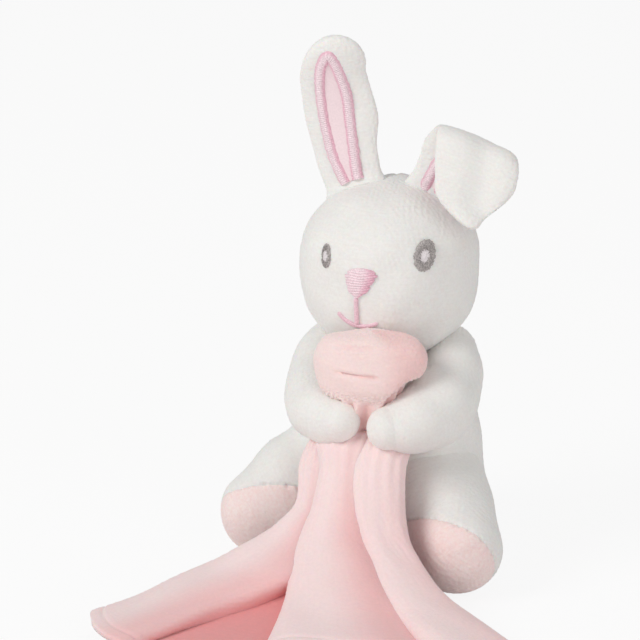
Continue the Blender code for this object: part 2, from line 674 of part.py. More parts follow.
def stitched_line(name, route, material):
    """A raised line of satin stitch along (x, z) points on the face."""
    route = np.array(route)
    ahead = np.gradient(route, axis=0)
    ahead /= np.linalg.norm(ahead, axis=1)[:, None]
    rings = []
    for (x, z), (dx, dz) in zip(route, ahead):
        rings.append([np.array(face_point(x - dz * LINE_WIDTH * out, z + dx * LINE_WIDTH * out,
                                          SEAM_GAP + STITCH_RISE * up)) for out, up in LINE_SECTION_SHARES])
    new_object(name, *ringed(rings), material)


def make_mouth(pink):
    """The line that falls from the nose, and the smile below it."""
    top = -NOSE_DROP - NOSE_HEIGHT / 2 - SEAM_GAP
    foot = top - NOSE_LINE_LENGTH
    stitched_line("nose_line", [(face_side(z), z) for z in np.linspace(top, foot, NOSE_LINE_ROW_COUNT)], pink)
    bend = foot - LINE_WIDTH / 2 - SEAM_GAP
    smile = curve_through([(face_side(bend) + MOUTH_WIDTH * across, bend + MOUTH_SAG * up)
                           for across, up in MOUTH_SHARES], 2)
    stitched_line("mouth", smile, pink)


def make_tail(plush):
    back = TORSO_HALF_DEPTH - TORSO_LEAN * TAIL_HEIGHT / NECK_HEIGHT
    centre = (0.0, back + TAIL_RADIUS * TAIL_SEAT_SHARE, TAIL_HEIGHT)
    tail = new_object("tail", *ball(centre, TAIL_RADIUS, SMALL_RING_COUNT), plush)
    cut(tail, torso_press("tail_seat", plush))


# Blanket

def make_puff(cloth, presses):
    """The gathered top: a narrow neck between the paws that swells into a creased puff under the chin."""
    stations = curve_through(PUFF_PROFILE_SHARES, 2)
    around = 2 * math.pi * np.arange(RING_COUNT) / RING_COUNT
    rings = []
    for height, width, depth in stations:
        crease = sum(math.exp(-((height - at) / PUFF_CREASE_WIDTH_SHARE) ** 2) for at in PUFF_CREASE_SHARES)
        draw = 1 - PUFF_CREASE_DEPTH_SHARE * crease
        swell = min(height / PUFF_SWELL_SHARE, 1.0) ** PUFF_SWELL_POWER
        x = GRIP_PLACE[0] + PUFF_SIDE * swell
        y = GRIP_PLACE[1] - PUFF_FORWARD * swell
        z = GRIP_HEIGHT + SEAM_GAP + PUFF_RISE * height
        ring = []
        for a in around:
            front = math.sqrt(max(-math.sin(a), 0.0))
            out = PUFF_HALF_DEPTH * depth * math.sin(a) * (1 + (draw - 1) * front)
            ring.append((x + PUFF_HALF_WIDTH * width * math.cos(a), y + out, z))
        rings.append(ring)
    top = (GRIP_PLACE[0] + PUFF_SIDE, GRIP_PLACE[1] - PUFF_FORWARD, GRIP_HEIGHT + SEAM_GAP + PUFF_RISE)
    puff = new_object("blanket_gather", *ringed(rings, None, top), cloth)
    for press in presses + [torso_press("gather_seat", cloth)]:
        cut(puff, press)


def drape_length(share):
    """The cloth's length from the grip to its hem, for a share across the fan: longest at the corners."""
    side = abs(2 * share - 1)
    if side < CORNER_HEADING_SHARE:
        part = side / CORNER_HEADING_SHARE
        return FRONT_LENGTH + (CORNER_LENGTH - FRONT_LENGTH) * math.sin(math.pi / 2 * part) ** 2
    part = (side - CORNER_HEADING_SHARE) / (1 - CORNER_HEADING_SHARE)
    return CORNER_LENGTH + (SIDE_LENGTH - CORNER_LENGTH) * math.sin(math.pi / 2 * part) ** 2


def drape_line():
    """The fan's middle line as (reach, height), its running length and its direction."""
    line = curve_through([(r * DRAPE_REACH, h * GRIP_HEIGHT) for r, h in DRAPE_PROFILE_SHARES],
                         DRAPE_SPAN_COUNT)
    steps = np.diff(line, axis=0)
    run = np.concatenate([[0.0], np.cumsum(np.hypot(steps[:, 0], steps[:, 1]))])
    ahead = np.gradient(line, axis=0)
    ahead /= np.linalg.norm(ahead, axis=1)[:, None]
    return line, run, ahead


def drape_point(line, run, ahead, fold, within, row_share, side):
    """A point of the fan's upper face (side 1) or lower face (side -1), raised by the fold's round arch."""
    distance = row_share * drape_length((fold + within) / len(FOLD_HEADINGS))
    past = max(distance - run[-1], 0.0)
    reach = np.interp(distance, run, line[:, 0]) + past
    height = np.interp(distance, run, line[:, 1])
    along = np.array((np.interp(distance, run, ahead[:, 0]), np.interp(distance, run, ahead[:, 1])))
    along /= np.linalg.norm(along)
    left, right = (math.radians(np.interp(reach / DRAPE_REACH, FOLD_STATION_SHARES, edge))
                   for edge in FOLD_HEADINGS[fold])
    turn = math.pi * within
    heading = (left + right) / 2 - (right - left) / 2 * math.cos(turn)
    fade = np.interp(row_share, np.linspace(0.0, 1.0, len(FOLD_FADE_SHARES)), FOLD_FADE_SHARES)
    round_share = math.tanh(FOLD_ROUND_SHARE * (right - left) * reach / FOLD_HEIGHT)
    arch = FOLD_HEIGHT * round_share * math.sin(turn) * fade
    bunch = max(1 - row_share / BUNCH_END_SHARE, 0.0) ** 2
    half = (CLOTH_THICKNESS + (BUNCH_THICKNESS - CLOTH_THICKNESS) * bunch) / 2
    out = arch + half * side
    reach -= along[1] * out
    height += along[0] * out
    apex_y = GRIP_PLACE[1] + FAN_APEX_BACK
    floor = SEAM_GAP if side < 0 else SEAM_GAP + CLOTH_THICKNESS / 2
    return np.array((GRIP_PLACE[0] + reach * math.sin(heading), apex_y - reach * math.cos(heading),
                     min(max(height, floor), GRIP_HEIGHT)))


def make_drape(cloth, presses):
    """The fan of cloth below the paws, parted at the line on which its front lifts."""
    line, run, ahead = drape_line()
    folds = range(len(FOLD_HEADINGS))
    columns = [(fold, within) for fold in folds for within in np.linspace(0.0, 1.0, FOLD_COLUMN_COUNT)]
    rings = []
    for row in np.linspace(0.0, 1.0, DRAPE_ROW_COUNT):
        upper = [drape_point(line, run, ahead, fold, within, row, 1) for fold, within in columns]
        lower = [drape_point(line, run, ahead, fold, within, row, -1) for fold, within in columns[::-1]]
        rings.append(upper + lower)
    points, faces = ringed(rings)
    for name, keep, origin in (("blanket_drape", 1, (0.0, 0.0, 0.0)),
                               ("blanket_front", -1, (0.0, LIFT_PLACE, LIFT_HEIGHT))):
        obj = new_object(name, points, faces, cloth, origin)
        shape = bmesh.new()
        shape.from_mesh(obj.data)
        plane = Vector((0.0, LIFT_PLACE + keep * SEAM_GAP / 2, 0.0)) - Vector(origin)
        result = bmesh.ops.bisect_plane(shape, geom=shape.verts[:] + shape.edges[:] + shape.faces[:],
                                        plane_co=plane, plane_no=(0.0, 1.0, 0.0),
                                        clear_inner=keep > 0, clear_outer=keep < 0)
        edges = [e for e in result["geom_cut"] if isinstance(e, bmesh.types.BMEdge)]
        bmesh.ops.contextual_create(shape, geom=edges)
        bmesh.ops.recalc_face_normals(shape, faces=shape.faces[:])
        shape.to_mesh(obj.data)
        shape.free()
        if keep > 0:
            for press in presses + [torso_press("drape_seat", cloth)]:
                cut(obj, press)


def main():
    clear_scene()
    plush = cloth_material("white_plush", (0.80, 0.77, 0.74))
    pink = cloth_material("pink_plush", (0.83, 0.58, 0.57))
    cloth = cloth_material("blanket_cloth", (0.84, 0.60, 0.60))
    filling = cloth_material("polyester_fibre", (0.86, 0.86, 0.84))
    grey = cloth_material("grey_thread", (0.33, 0.29, 0.28), 0.5)
    white = cloth_material("white_thread", (0.70, 0.66, 0.66), 0.5)
    rose = cloth_material("pink_thread", (0.82, 0.58, 0.62), 0.45)
    make_torso(plush, filling)
    make_leg("left", LEFT_HIP_HEADING, LEFT_FOOT_PLACE, LEFT_FOOT_RADIUS,
             (LEFT_SOLE_FACING_SHARES, LEFT_SOLE_AHEAD), (plush, pink, filling))
    make_leg("right", RIGHT_HIP_HEADING, RIGHT_FOOT_PLACE, RIGHT_FOOT_RADIUS,
             (RIGHT_SOLE_FACING_SHARES, RIGHT_SOLE_AHEAD), (plush, pink, filling))
    presses = [make_arm("left", LEFT_ARM_ROUTE_SHARES, LEFT_ARM_RADIUS_SHARES, plush, filling),
               make_arm("right", RIGHT_ARM_ROUTE_SHARES, RIGHT_ARM_RADIUS_SHARES, plush, filling)]
    make_head(plush, filling)
    upright = (RIGHT_EAR_FOLD_AT, RIGHT_EAR_FOLD_RADIUS, math.radians(RIGHT_EAR_FOLD_ANGLE))
    folded = (LEFT_EAR_FOLD_AT, LEFT_EAR_FOLD_RADIUS, math.radians(LEFT_EAR_FOLD_ANGLE))
    right_lean = (RIGHT_EAR_LEAN_SHARE, RIGHT_EAR_FLAP_LEAN_SHARE, RIGHT_EAR_SPREAD_SHARE)
    left_lean = (LEFT_EAR_LEAN_SHARE, LEFT_EAR_FLAP_LEAN_SHARE, LEFT_EAR_SPREAD_SHARE)
    make_ear("right", RIGHT_EAR_OFFSET, RIGHT_EAR_SEAM_SLOPE, right_lean, upright, plush, pink)
    make_ear("left", LEFT_EAR_OFFSET, LEFT_EAR_SEAM_SLOPE, left_lean, folded, plush, pink)
    make_eye("left", (LEFT_EYE_TURN, LEFT_EYE_RISE), (LEFT_EYE_WIDTH, LEFT_EYE_HEIGHT, LEFT_EYE_BAND),
             grey, white)
    make_eye("right", (RIGHT_EYE_TURN, RIGHT_EYE_RISE), (RIGHT_EYE_WIDTH, RIGHT_EYE_HEIGHT, RIGHT_EYE_BAND),
             grey, white)
    make_nose(rose)
    make_mouth(rose)
    make_tail(plush)
    make_puff(cloth, presses)
    make_drape(cloth, presses)


main()
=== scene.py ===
"""Dresses a seated plush bunny that hugs a gathered blanket: pile, satin stitch, folds and a plain studio.

Every surface is a grid of points worked out with numpy from two parameters, in metres, in the frame's own axes.
"""
import json
import math

import bpy
import numpy as np
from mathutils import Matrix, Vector


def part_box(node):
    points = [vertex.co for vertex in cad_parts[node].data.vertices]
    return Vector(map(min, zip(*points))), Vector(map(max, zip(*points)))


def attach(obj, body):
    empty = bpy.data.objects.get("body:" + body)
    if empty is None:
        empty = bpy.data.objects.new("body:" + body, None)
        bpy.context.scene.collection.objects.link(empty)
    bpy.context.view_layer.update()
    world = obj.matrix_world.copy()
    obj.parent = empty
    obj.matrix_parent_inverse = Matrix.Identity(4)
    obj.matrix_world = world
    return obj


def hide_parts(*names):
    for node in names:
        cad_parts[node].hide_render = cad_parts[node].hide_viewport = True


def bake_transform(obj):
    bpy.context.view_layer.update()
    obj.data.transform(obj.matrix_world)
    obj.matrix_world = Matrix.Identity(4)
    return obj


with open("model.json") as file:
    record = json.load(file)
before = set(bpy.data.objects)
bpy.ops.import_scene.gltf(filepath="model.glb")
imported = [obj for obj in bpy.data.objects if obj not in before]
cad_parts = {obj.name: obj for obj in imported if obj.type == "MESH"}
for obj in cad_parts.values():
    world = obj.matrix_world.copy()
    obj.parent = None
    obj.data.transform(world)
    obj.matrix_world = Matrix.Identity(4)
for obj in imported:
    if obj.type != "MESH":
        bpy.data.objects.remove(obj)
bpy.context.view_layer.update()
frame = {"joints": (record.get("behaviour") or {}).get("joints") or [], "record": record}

bl_info = {
    "name": "Plush bunny with blanket",
    "version": (1, 1, 0),
    "blender": (4, 5, 0),
    "location": "View3D > Sidebar > Bunny",
    "description": "Makes the soft surfaces, stitching and studio of a plush bunny that hugs a blanket",
    "category": "Add Mesh",
}

MM = 0.001
TURN = 2 * math.pi
UP = np.array((0.0, 0.0, 1.0))

TORSO_LOW, TORSO_HIGH = (np.array(corner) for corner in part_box("body_cover"))
HEAD_LOW, HEAD_HIGH = (np.array(corner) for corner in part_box("head_cover"))
JOINT_PLACE = {joint["name"]: np.array(joint["pos_m"]) for joint in frame["joints"]}
JOINT_AXIS = {joint["name"]: np.array(joint["axis"]) for joint in frame["joints"]}


# Sizes and colours that a user would change

def length(name, description, value, high=0.3):
    return bpy.props.FloatProperty(name=name, description=description, default=value, min=0.0, max=high,
                                   unit="LENGTH", precision=5)


def colour(name, description, value):
    return bpy.props.FloatVectorProperty(name=name, description=description, default=value, size=3, min=0.0,
                                         max=1.0, subtype="COLOR")


class BunnyFinish(bpy.types.PropertyGroup):
    """Colours and the pile of the cloth"""
    white: colour("White plush", "Colour of the body's plush, brushed smooth", (0.905, 0.897, 0.872))
    white_deep: colour("White plush, deep", "Colour between the white plush's tufts", (0.845, 0.825, 0.80))
    pink: colour("Foot plush", "Colour of the plush of the feet", (0.99, 0.85, 0.825))
    pink_deep: colour("Foot plush, deep", "Colour between the foot plush's tufts", (0.95, 0.72, 0.70))
    puff: colour("Gathered velour", "Colour of the gathered velour, brushed up", (0.985, 0.79, 0.77))
    # painted shade: the gathers' neck, pleat hollows, creases and the puff's side turned from the light are drawn
    # towards this colour
    puff_painted_shade: colour("Gathered velour, deep", "Colour in the gathers' creases", (0.88, 0.46, 0.45))
    velour: colour("Blanket velour", "Colour of the blanket's cloth", (0.99, 0.79, 0.785))
    # painted shade: the blanket's valleys and the fold sides turned from the light are drawn towards this colour,
    # a saturated pink that also stands for the light reflected between the folds
    velour_painted_shade: colour("Blanket velour, deep", "Colour in the blanket's creases", (0.86, 0.36, 0.36))
    lining: colour("Ear lining", "Colour of the ears' lining", (0.95, 0.78, 0.81))
    stitch: colour("Pink thread", "Colour of the pink satin stitch", (0.985, 0.82, 0.865))
    # painted shade: the stitches' edges where they turn down from the light, the nose's side turned from the
    # light and the whole mouth line are drawn towards this colour
    stitch_painted_shade: colour("Pink thread, turned away", "Colour where the stitches turn down", (0.87, 0.40, 0.54))
    grey: colour("Grey thread", "Colour of the eyes' satin stitch", (0.56, 0.515, 0.505))
    eye_white: colour("White thread", "Colour of the eyes' middles", (0.86, 0.80, 0.82))
    tuft_size: length("Tuft size", "Width of one tuft of the pile", 1.3 * MM)
    tuft_rise: length("Tuft rise", "How far the tufts stand out of the cloth", 0.08 * MM)
    lump_size: length("Lump size", "Width of the filling's soft lumps", 17.0 * MM)
    lump_rise: length("Lump rise", "Height of the filling's soft lumps", 0.32 * MM)


HEAD_HALF = (HEAD_HIGH - HEAD_LOW) / 2


class BunnyForm(bpy.types.PropertyGroup):
    """Sizes of the stuffed parts"""
    crown: length("Crown", "Head's height above its widest level", 28.8 * MM)
    head_width: length("Head half-width", "Half the head's width", float(HEAD_HALF[0]) - 0.5 * MM)
    head_depth: length("Head half-depth", "Half the head's depth", float(HEAD_HALF[1]))
    chin: length("Chin", "Head's depth below its widest level, if it weren't cut by the neck", 36.5 * MM)
    arm_reach: length("Arm reach", "Distance from the body's axis to the paws", 44.5 * MM)
    arm_radius: length("Arm radius", "Radius of an arm at its thickest", 12.6 * MM)
    thigh_radius: length("Thigh radius", "Radius of the hip's ball", 21.5 * MM)
    left_foot: length("Left foot radius", "Radius of the left foot", 16.5 * MM)
    right_foot: length("Right foot radius", "Radius of the right foot", 15.4 * MM)
    tail_radius: length("Tail radius", "Radius of the tail's ball", 11.0 * MM)
    seam_depth: length("Seam depth", "How far a seam draws the plush in", 0.7 * MM)
    seam_width: length("Seam width", "Width of the furrow over a seam", 1.1 * MM)
    fillet: length("Soft corner", "Width of the soft corner where two stuffed parts meet", 9.0 * MM)


class BunnyEars(bpy.types.PropertyGroup):
    """Sizes of the two ears"""
    right_length: length("Right ear length", "Length of the upright ear from its seam", 52.8 * MM)
    left_length: length("Left ear length", "Length of the folded ear from its seam", 54.3 * MM)
    half_width: length("Ear half-width", "Half an ear's width at its widest", 14.0 * MM)
    thickness: length("Ear thickness", "Thickness of an ear at its middle", 6.2 * MM)
    border_width: length("Border width", "Width of the satin-stitch border", 4.3 * MM)
    border_rise: length("Border rise", "Height of the satin-stitch border", 1.3 * MM)


class BunnyBlanket(bpy.types.PropertyGroup):
    """Sizes of the blanket"""
    reach: length("Reach", "Distance from the fan's apex to the hem ahead, along the floor", 108.0 * MM)
    front_length: length("Front length", "Length of the cloth to the front hem", 108.0 * MM)
    corner_length: length("Corner length", "Length of the cloth to a corner", 136.0 * MM)
    side_length: length("Side length", "Length of the cloth along a side edge", 118.0 * MM)
    thickness: length("Thickness", "Thickness of the two sewn layers", 2.6 * MM)
    fold_height: length("Fold height", "Height of a fold's back above the cloth", 13.0 * MM)
    flat_width: length("Flat width", "Width of the blanket's hem laid flat", 236.0 * MM, 0.6)
    neck_width: length("Neck width", "Width of the gathered end laid flat", 66.0 * MM)
    flat_length: length("Flat length", "Length of the blanket laid flat below the grip", 136.0 * MM, 0.6)


# Numbers as arrays

def unit(vectors):
    return vectors / np.maximum(np.linalg.norm(vectors, axis=-1, keepdims=True), 1e-12)


def full_turn(count):
    """A row of even angles round a full turn, the last one short of the first."""
    return np.linspace(0.0, TURN, count, endpoint=False)[None, :]


def smooth_step(x, low, high):
    """0 below low, 1 above high, and a smooth rise between them."""
    t = np.clip((x - low) / (high - low), 0.0, 1.0)
    return t * t * (3 - 2 * t)


def wave_noise(points, size, seed, waves=14):
    """Smooth noise of about unit size: cosine waves of about one length, in random directions, added up."""
    chance = np.random.default_rng(seed)
    ways = unit(chance.normal(size=(waves, 3))) / (size * chance.uniform(0.7, 1.5, (waves, 1)))
    phases = chance.uniform(0.0, TURN, waves)
    return np.cos(points @ (TURN * ways).T + phases).sum(axis=-1) / math.sqrt(waves)


def curve_through(points, count):
    """Points evenly spaced along a Catmull-Rom curve through the given points."""
    given = np.array(points, float)
    ends = np.vstack([2 * given[0] - given[1], given, 2 * given[-1] - given[-2]])
    t = np.linspace(0.0, len(given) - 1.0, 40 * len(given))
    span = np.minimum(t.astype(int), len(given) - 2)
    t = (t - span)[:, None]
    before, start, stop, after = (ends[span + i] for i in range(4))
    line = 0.5 * (2 * start + (stop - before) * t + (2 * before - 5 * start + 4 * stop - after) * t ** 2
                  + (3 * start - before - 3 * stop + after) * t ** 3)
    run = running_length(line)
    even = np.linspace(0.0, run[-1], count)
    return np.stack([np.interp(even, run, line[:, k]) for k in range(line.shape[1])], axis=1)


def curve_values(stations, values, at):
    """Values of a smooth curve over rising stations, read at the given places."""
    line = curve_through(np.stack([stations, values], axis=1), 400)
    return np.interp(at, line[:, 0], line[:, 1])


def even_values(values, at):
    """Values of a smooth curve over even stations from 0 to 1."""
    return curve_values(np.linspace(0, 1, len(values)), values, at)


def running_length(line):
    """The distance run along a line of points, from 0 at its first."""
    return np.concatenate([[0.0], np.cumsum(np.linalg.norm(np.diff(line, axis=0), axis=1))])


def sideways(line):
    """Unit vectors square to a flat line's direction, to its left."""
    way = unit(np.gradient(line, axis=0))
    return np.stack([-way[:, 1], way[:, 0]], axis=1)


def band(route, offsets):
    """Places beside a flat line: rows along it, with columns at the given offsets to its left."""
    return route[:, None, :] + sideways(route)[:, None, :] * offsets[..., None]


def grid_normals(grid, wrap=True):
    """Unit normals of a grid of points: the cross product of its two slopes, turned to face out."""
    if wrap:
        across = np.roll(grid, -1, axis=1) - np.roll(grid, 1, axis=1)
    else:
        across = np.gradient(grid, axis=1)
    normals = unit(np.cross(across, np.gradient(grid, axis=0)))
    outward = (normals * (grid - grid.reshape(-1, 3).mean(axis=0))).sum()
    return normals if outward > 0 else -normals


def furrow(distance, width):
    """A smooth groove's depth share: 1 on its line and 0 a few widths away."""
    return np.exp(-(distance / width) ** 2)


def raised(grid, rise):
    """A grid of rings moved out along its normals."""
    return grid + grid_normals(grid) * rise[..., None]


def plushed(grid, finish, seed, lumps=1.0):
    """A grid raised along its normals by the filling's soft lumps and the pile's small tufts."""
    rise = finish.lump_rise * lumps * wave_noise(grid, finish.lump_size, seed)
    rise = rise + finish.tuft_rise * wave_noise(grid, finish.tuft_size, seed + 1)
    return raised(grid, rise)


def gap_to_balls(points, centres, radii):
    """Each point's distance from the nearest of a row of balls: below 0 inside."""
    flat = points.reshape(-1, 3)
    gap = np.full(len(flat), np.inf)
    for centre, radius in zip(centres, radii):
        gap = np.minimum(gap, np.linalg.norm(flat - centre, axis=1) - radius)
    return gap.reshape(points.shape[:-1])


def softened(grid, gap, size, held=1.0):
    """A grid raised near another part as in a smooth union: a quarter of size times (1 - |gap| / size)^2."""
    near = np.clip(1 - np.abs(gap) / size, 0.0, 1.0)
    return raised(grid, held * size / 4 * near ** 2)


# Meshes from grids

def mesh_object(name, points, faces, material, lies=()):
    """A smooth-shaded mesh of arrays of faces, turned to face out by the sign of its volume.

    The lies give each face corner's flat place on the cloth, which the pile's streaks follow.
    """
    volume = sum((points[part[:, 0]] * np.cross(points[part[:, k]], points[part[:, k + 1]])).sum()
                 for part in faces for k in range(1, part.shape[1] - 1))
    order = slice(None, None, -1 if volume < 0 else 1)
    corners = np.concatenate([part[:, order].ravel() for part in faces]).astype(np.int32)
    sizes = np.concatenate([np.full(len(part), part.shape[1]) for part in faces]).astype(np.int32)
    mesh = bpy.data.meshes.new(name)
    mesh.vertices.add(len(points))
    mesh.vertices.foreach_set("co", points.astype(np.float32).ravel())
    mesh.loops.add(len(corners))
    mesh.loops.foreach_set("vertex_index", corners)
    mesh.polygons.add(len(sizes))
    mesh.polygons.foreach_set("loop_start", (np.cumsum(sizes) - sizes).astype(np.int32))
    mesh.polygons.foreach_set("loop_total", sizes)
    if lies:
        lie = np.concatenate([part[:, order].reshape(-1, 2) for part in lies])
        mesh.uv_layers.new(name="lie").data.foreach_set("uv", lie.astype(np.float32).ravel())
    mesh.update(calc_edges=True)
    mesh.validate()
    mesh.shade_smooth()
    mesh.materials.append(material)
    obj = bpy.data.objects.new(name, mesh)
    bpy.context.scene.collection.objects.link(obj)
    return obj


def quads_of(index):
    """The faces between neighbours in a grid of point numbers."""
    return np.stack([index[:-1, :-1], index[:-1, 1:], index[1:, 1:], index[1:, :-1]], axis=-1).reshape(-1, 4)


def grid_quads(rows, columns, wrap=False):
    index = np.arange(rows * columns).reshape(rows, columns)
    return quads_of(np.concatenate([index, index[:, :1]], axis=1) if wrap else index)


def lie_of(grid, wrap):
    """Each point's flat place on the cloth: the mean distance run across the columns and down the rows."""
    closed = np.concatenate([grid, grid[:, :1]], axis=1) if wrap else grid
    across = np.linalg.norm(np.diff(closed, axis=1), axis=-1).mean(axis=0)
    down = np.linalg.norm(np.diff(grid, axis=0), axis=-1).mean(axis=1)
    run_across = np.concatenate([[0.0], np.cumsum(across)])
    run_down = np.concatenate([[0.0], np.cumsum(down)])
    return np.stack(np.meshgrid(run_across, run_down), axis=-1)


def round_piece(name, grid, material):
    """A closed mesh from rings of points, with a pole past the first and the last ring."""
    rows, columns = grid.shape[:2]
    poles = np.stack([grid[0].mean(axis=0), grid[-1].mean(axis=0)])
    points = np.vstack([grid.reshape(-1, 3), poles])
    ring = np.arange(columns)
    after = np.roll(ring, -1)
    last = (rows - 1) * columns
    first_fan = np.stack([after, ring, np.full(columns, rows * columns)], axis=1)
    last_fan = np.stack([last + ring, last + after, np.full(columns, rows * columns + 1)], axis=1)
    lie = lie_of(grid, True)
    quad_lie = lie.reshape(-1, 2)[grid_quads(rows, columns + 1)]
    first_lie = np.stack([lie[0, 1:], lie[0, :-1], lie[0, :-1]], axis=1)
    last_lie = np.stack([lie[-1, :-1], lie[-1, 1:], lie[-1, 1:]], axis=1)
    faces = [grid_quads(rows, columns, True), np.vstack([first_fan, last_fan])]
    return mesh_object(name, points, faces, material, [quad_lie, np.vstack([first_lie, last_lie])])


def layered_piece(name, top, bottom, material):
    """A closed mesh from two grids of equal size, joined round their rims."""
    rows, columns = top.shape[:2]
    points = np.vstack([top.reshape(-1, 3), bottom.reshape(-1, 3)])
    index = np.arange(rows * columns).reshape(rows, columns)
    rim = np.concatenate([index[0, :-1], index[:-1, -1], index[-1, :0:-1], index[:0:-1, 0]])
    after = np.roll(rim, -1)
    count = rows * columns
    faces = grid_quads(rows, columns)
    side = np.stack([rim + count, after + count, after, rim], axis=1)
    quads = np.vstack([faces, faces[:, ::-1] + count, side])
    lie = lie_of(top, False).reshape(-1, 2)
    return mesh_object(name, points, [quads], material, [np.tile(lie, (2, 1))[quads]])


def finished(obj, body, slot, *nodes, fill=None):
    """The piece, riding on its body, in place of the solids that it stands for; its slot is not used."""
    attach(obj, body)
    if nodes:
        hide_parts(*nodes)
    return obj


STUFFED_FILL = 0.9


def stuffed(name, grid, material, body, slot, *nodes):
    """A firmly stuffed piece from rings of points."""
    return finished(round_piece(name, grid, material), body, slot, *nodes, fill=STUFFED_FILL)


# Materials

def add_node(tree, kind, values=None, links=None, **settings):
    """A shader node with its settings, its inputs' values and the sockets that feed its inputs."""
    node = tree.nodes.new(f"ShaderNode{kind}")
    for name, value in settings.items():
        setattr(node, name, value)
    for key, value in (values or {}).items():
        node.inputs[key].default_value = value
    for key, socket in (links or {}).items():
        tree.links.new(socket, node.inputs[key])
    return node


def weighted(tree, *parts):
    """The sum of sockets times their weights."""
    total = None
    for socket, weight in parts:
        links = {0: socket} if total is None else {0: socket, 2: total}
        total = add_node(tree, "Math", {1: weight, 2: 0.0}, links, operation="MULTIPLY_ADD").outputs["Value"]
    return total


def noise(tree, vector, detail, roughness=0.5, scale=None):
    links = {"Vector": vector} if scale is None else {"Vector": vector, "Scale": scale}
    values = {"Scale": 1.0, "Detail": detail, "Roughness": roughness}
    return add_node(tree, "TexNoise", values, links).outputs["Fac"]


def texture_group(name, inputs, build):
    """The named node group, made once: its inputs' defaults, and the tint mask and height that build gives."""
    group = bpy.data.node_groups.get(name)
    if group:
        return group
    group = bpy.data.node_groups.new(name, "ShaderNodeTree")
    for label, value in inputs.items():
        kind = "NodeSocketVector" if isinstance(value, tuple) else "NodeSocketFloat"
        group.interface.new_socket(name=label, in_out="INPUT", socket_type=kind).default_value = value
    for label in ("Tint", "Height"):
        group.interface.new_socket(name=label, in_out="OUTPUT", socket_type="NodeSocketFloat")
    given, made = group.nodes.new("NodeGroupInput"), group.nodes.new("NodeGroupOutput")
    place = add_node(group, "TexCoord")
    tint, height = build(group, given.outputs, place.outputs)
    group.links.new(tint, made.inputs["Tint"])
    group.links.new(height, made.inputs["Height"])
    return group


def pile_nodes(tree, given, place):
    """Fine tufts, streaks that follow the cloth, and its broad lie."""
    tufts = noise(tree, place["Object"], 3.0, 0.6, given["Tuft Scale"])
    broad = noise(tree, place["Object"], 1.0, scale=given["Broad Scale"])
    drawn = add_node(tree, "VectorMath", links={0: place["UV"], 1: given["Streak Scale"]}, operation="MULTIPLY")
    streaks = noise(tree, drawn.outputs["Vector"], 2.0)
    return (weighted(tree, (tufts, 0.52), (streaks, 0.22), (broad, 0.26)),
            weighted(tree, (tufts, 0.88), (streaks, 0.12)))


def thread_nodes(tree, given, place):
    """Fine twisted strands."""
    strands = noise(tree, place["Object"], 2.0, scale=given["Strand Scale"])
    return strands, strands


def pile_group():
    inputs = {"Tuft Scale": 950.0, "Broad Scale": 60.0, "Streak Scale": (110.0, 1300.0, 1.0)}
    return texture_group("pile", inputs, pile_nodes)


def thread_group():
    return texture_group("thread", {"Strand Scale": 2400.0}, thread_nodes)


def ramp(tree, share, tones):
    """A share's colour by a ramp through (position, colour) stops."""
    node = add_node(tree, "ValToRGB", links={"Fac": share})
    stops = node.color_ramp.elements
    while len(stops) < len(tones):
        stops.new(0.5)
    for stop, (position, tone) in zip(stops, tones):
        stop.position = position
        stop.color = (*tone, 1.0)
    return node.outputs["Color"]


SHEEN_ROUGHNESS = 0.45
SCATTER_DEPTH = 2.5 * MM
ALONG_FOLDS = (1100.0, 70.0, 1.0)


def set_inputs(node, values):
    for label, value in values.items():
        node.inputs[label].default_value = value


def cloth_material(name, texture, light, deep, roughness, sheen, bump, depth, scatter=0.0, painted_shade=None,
                   streak=None, tone_span=(0.36, 0.62), gloss=0.2):
    """A Principled material whose colour runs between two tones by the texture group's tint mask.

    With a painted shade colour, the mesh's own painted_shade attribute paints shade by drawing the light tone
    towards it by way of a middle tone.
    """
    material = bpy.data.materials.get(name)
    if material:
        return material
    material = bpy.data.materials.new(name)
    material.use_nodes = True
    tree = material.node_tree
    shader = tree.nodes["Principled BSDF"]
    set_inputs(shader, {"Roughness": roughness, "Sheen Weight": sheen, "Sheen Roughness": SHEEN_ROUGHNESS,
                        "Specular IOR Level": gloss, "Subsurface Weight": scatter,
                        "Subsurface Scale": SCATTER_DEPTH})
    group = add_node(tree, "Group", {"Streak Scale": streak} if streak else None, node_tree=texture)
    colour_out = ramp(tree, group.outputs["Tint"], ((tone_span[0], deep), (tone_span[1], light)))
    if painted_shade:
        last = tuple(c / v for c, v in zip(painted_shade, light))
        middle = tuple(0.5 * (1.0 + share) for share in last)
        drawn_in = add_node(tree, "Attribute", attribute_name="painted_shade")
        shades = ramp(tree, drawn_in.outputs["Fac"], ((0.0, (1.0, 1.0, 1.0)), (0.5, middle), (1.0, last)))
        colour_out = add_node(tree, "Mix", {"Factor": 1.0}, {"A": colour_out, "B": shades},
                              data_type="RGBA", blend_type="MULTIPLY").outputs["Result"]
    tree.links.new(colour_out, shader.inputs["Base Color"])
    relief = add_node(tree, "Bump", {"Strength": bump, "Distance": depth}, {"Height": group.outputs["Height"]})
    tree.links.new(relief.outputs["Normal"], shader.inputs["Normal"])
    return material


def dimmed(tone, share):
    return tuple(share * value for value in tone)


def white_plush(finish):
    return cloth_material("white plush", pile_group(), finish.white, finish.white_deep, roughness=0.95,
                          sheen=0.3, bump=0.45, depth=0.3 * MM, scatter=0.12)


def pink_plush(finish):
    return cloth_material("pink plush", pile_group(), finish.pink, finish.pink_deep, roughness=0.95,
                          sheen=0.3, bump=0.55, depth=0.35 * MM, scatter=0.1)


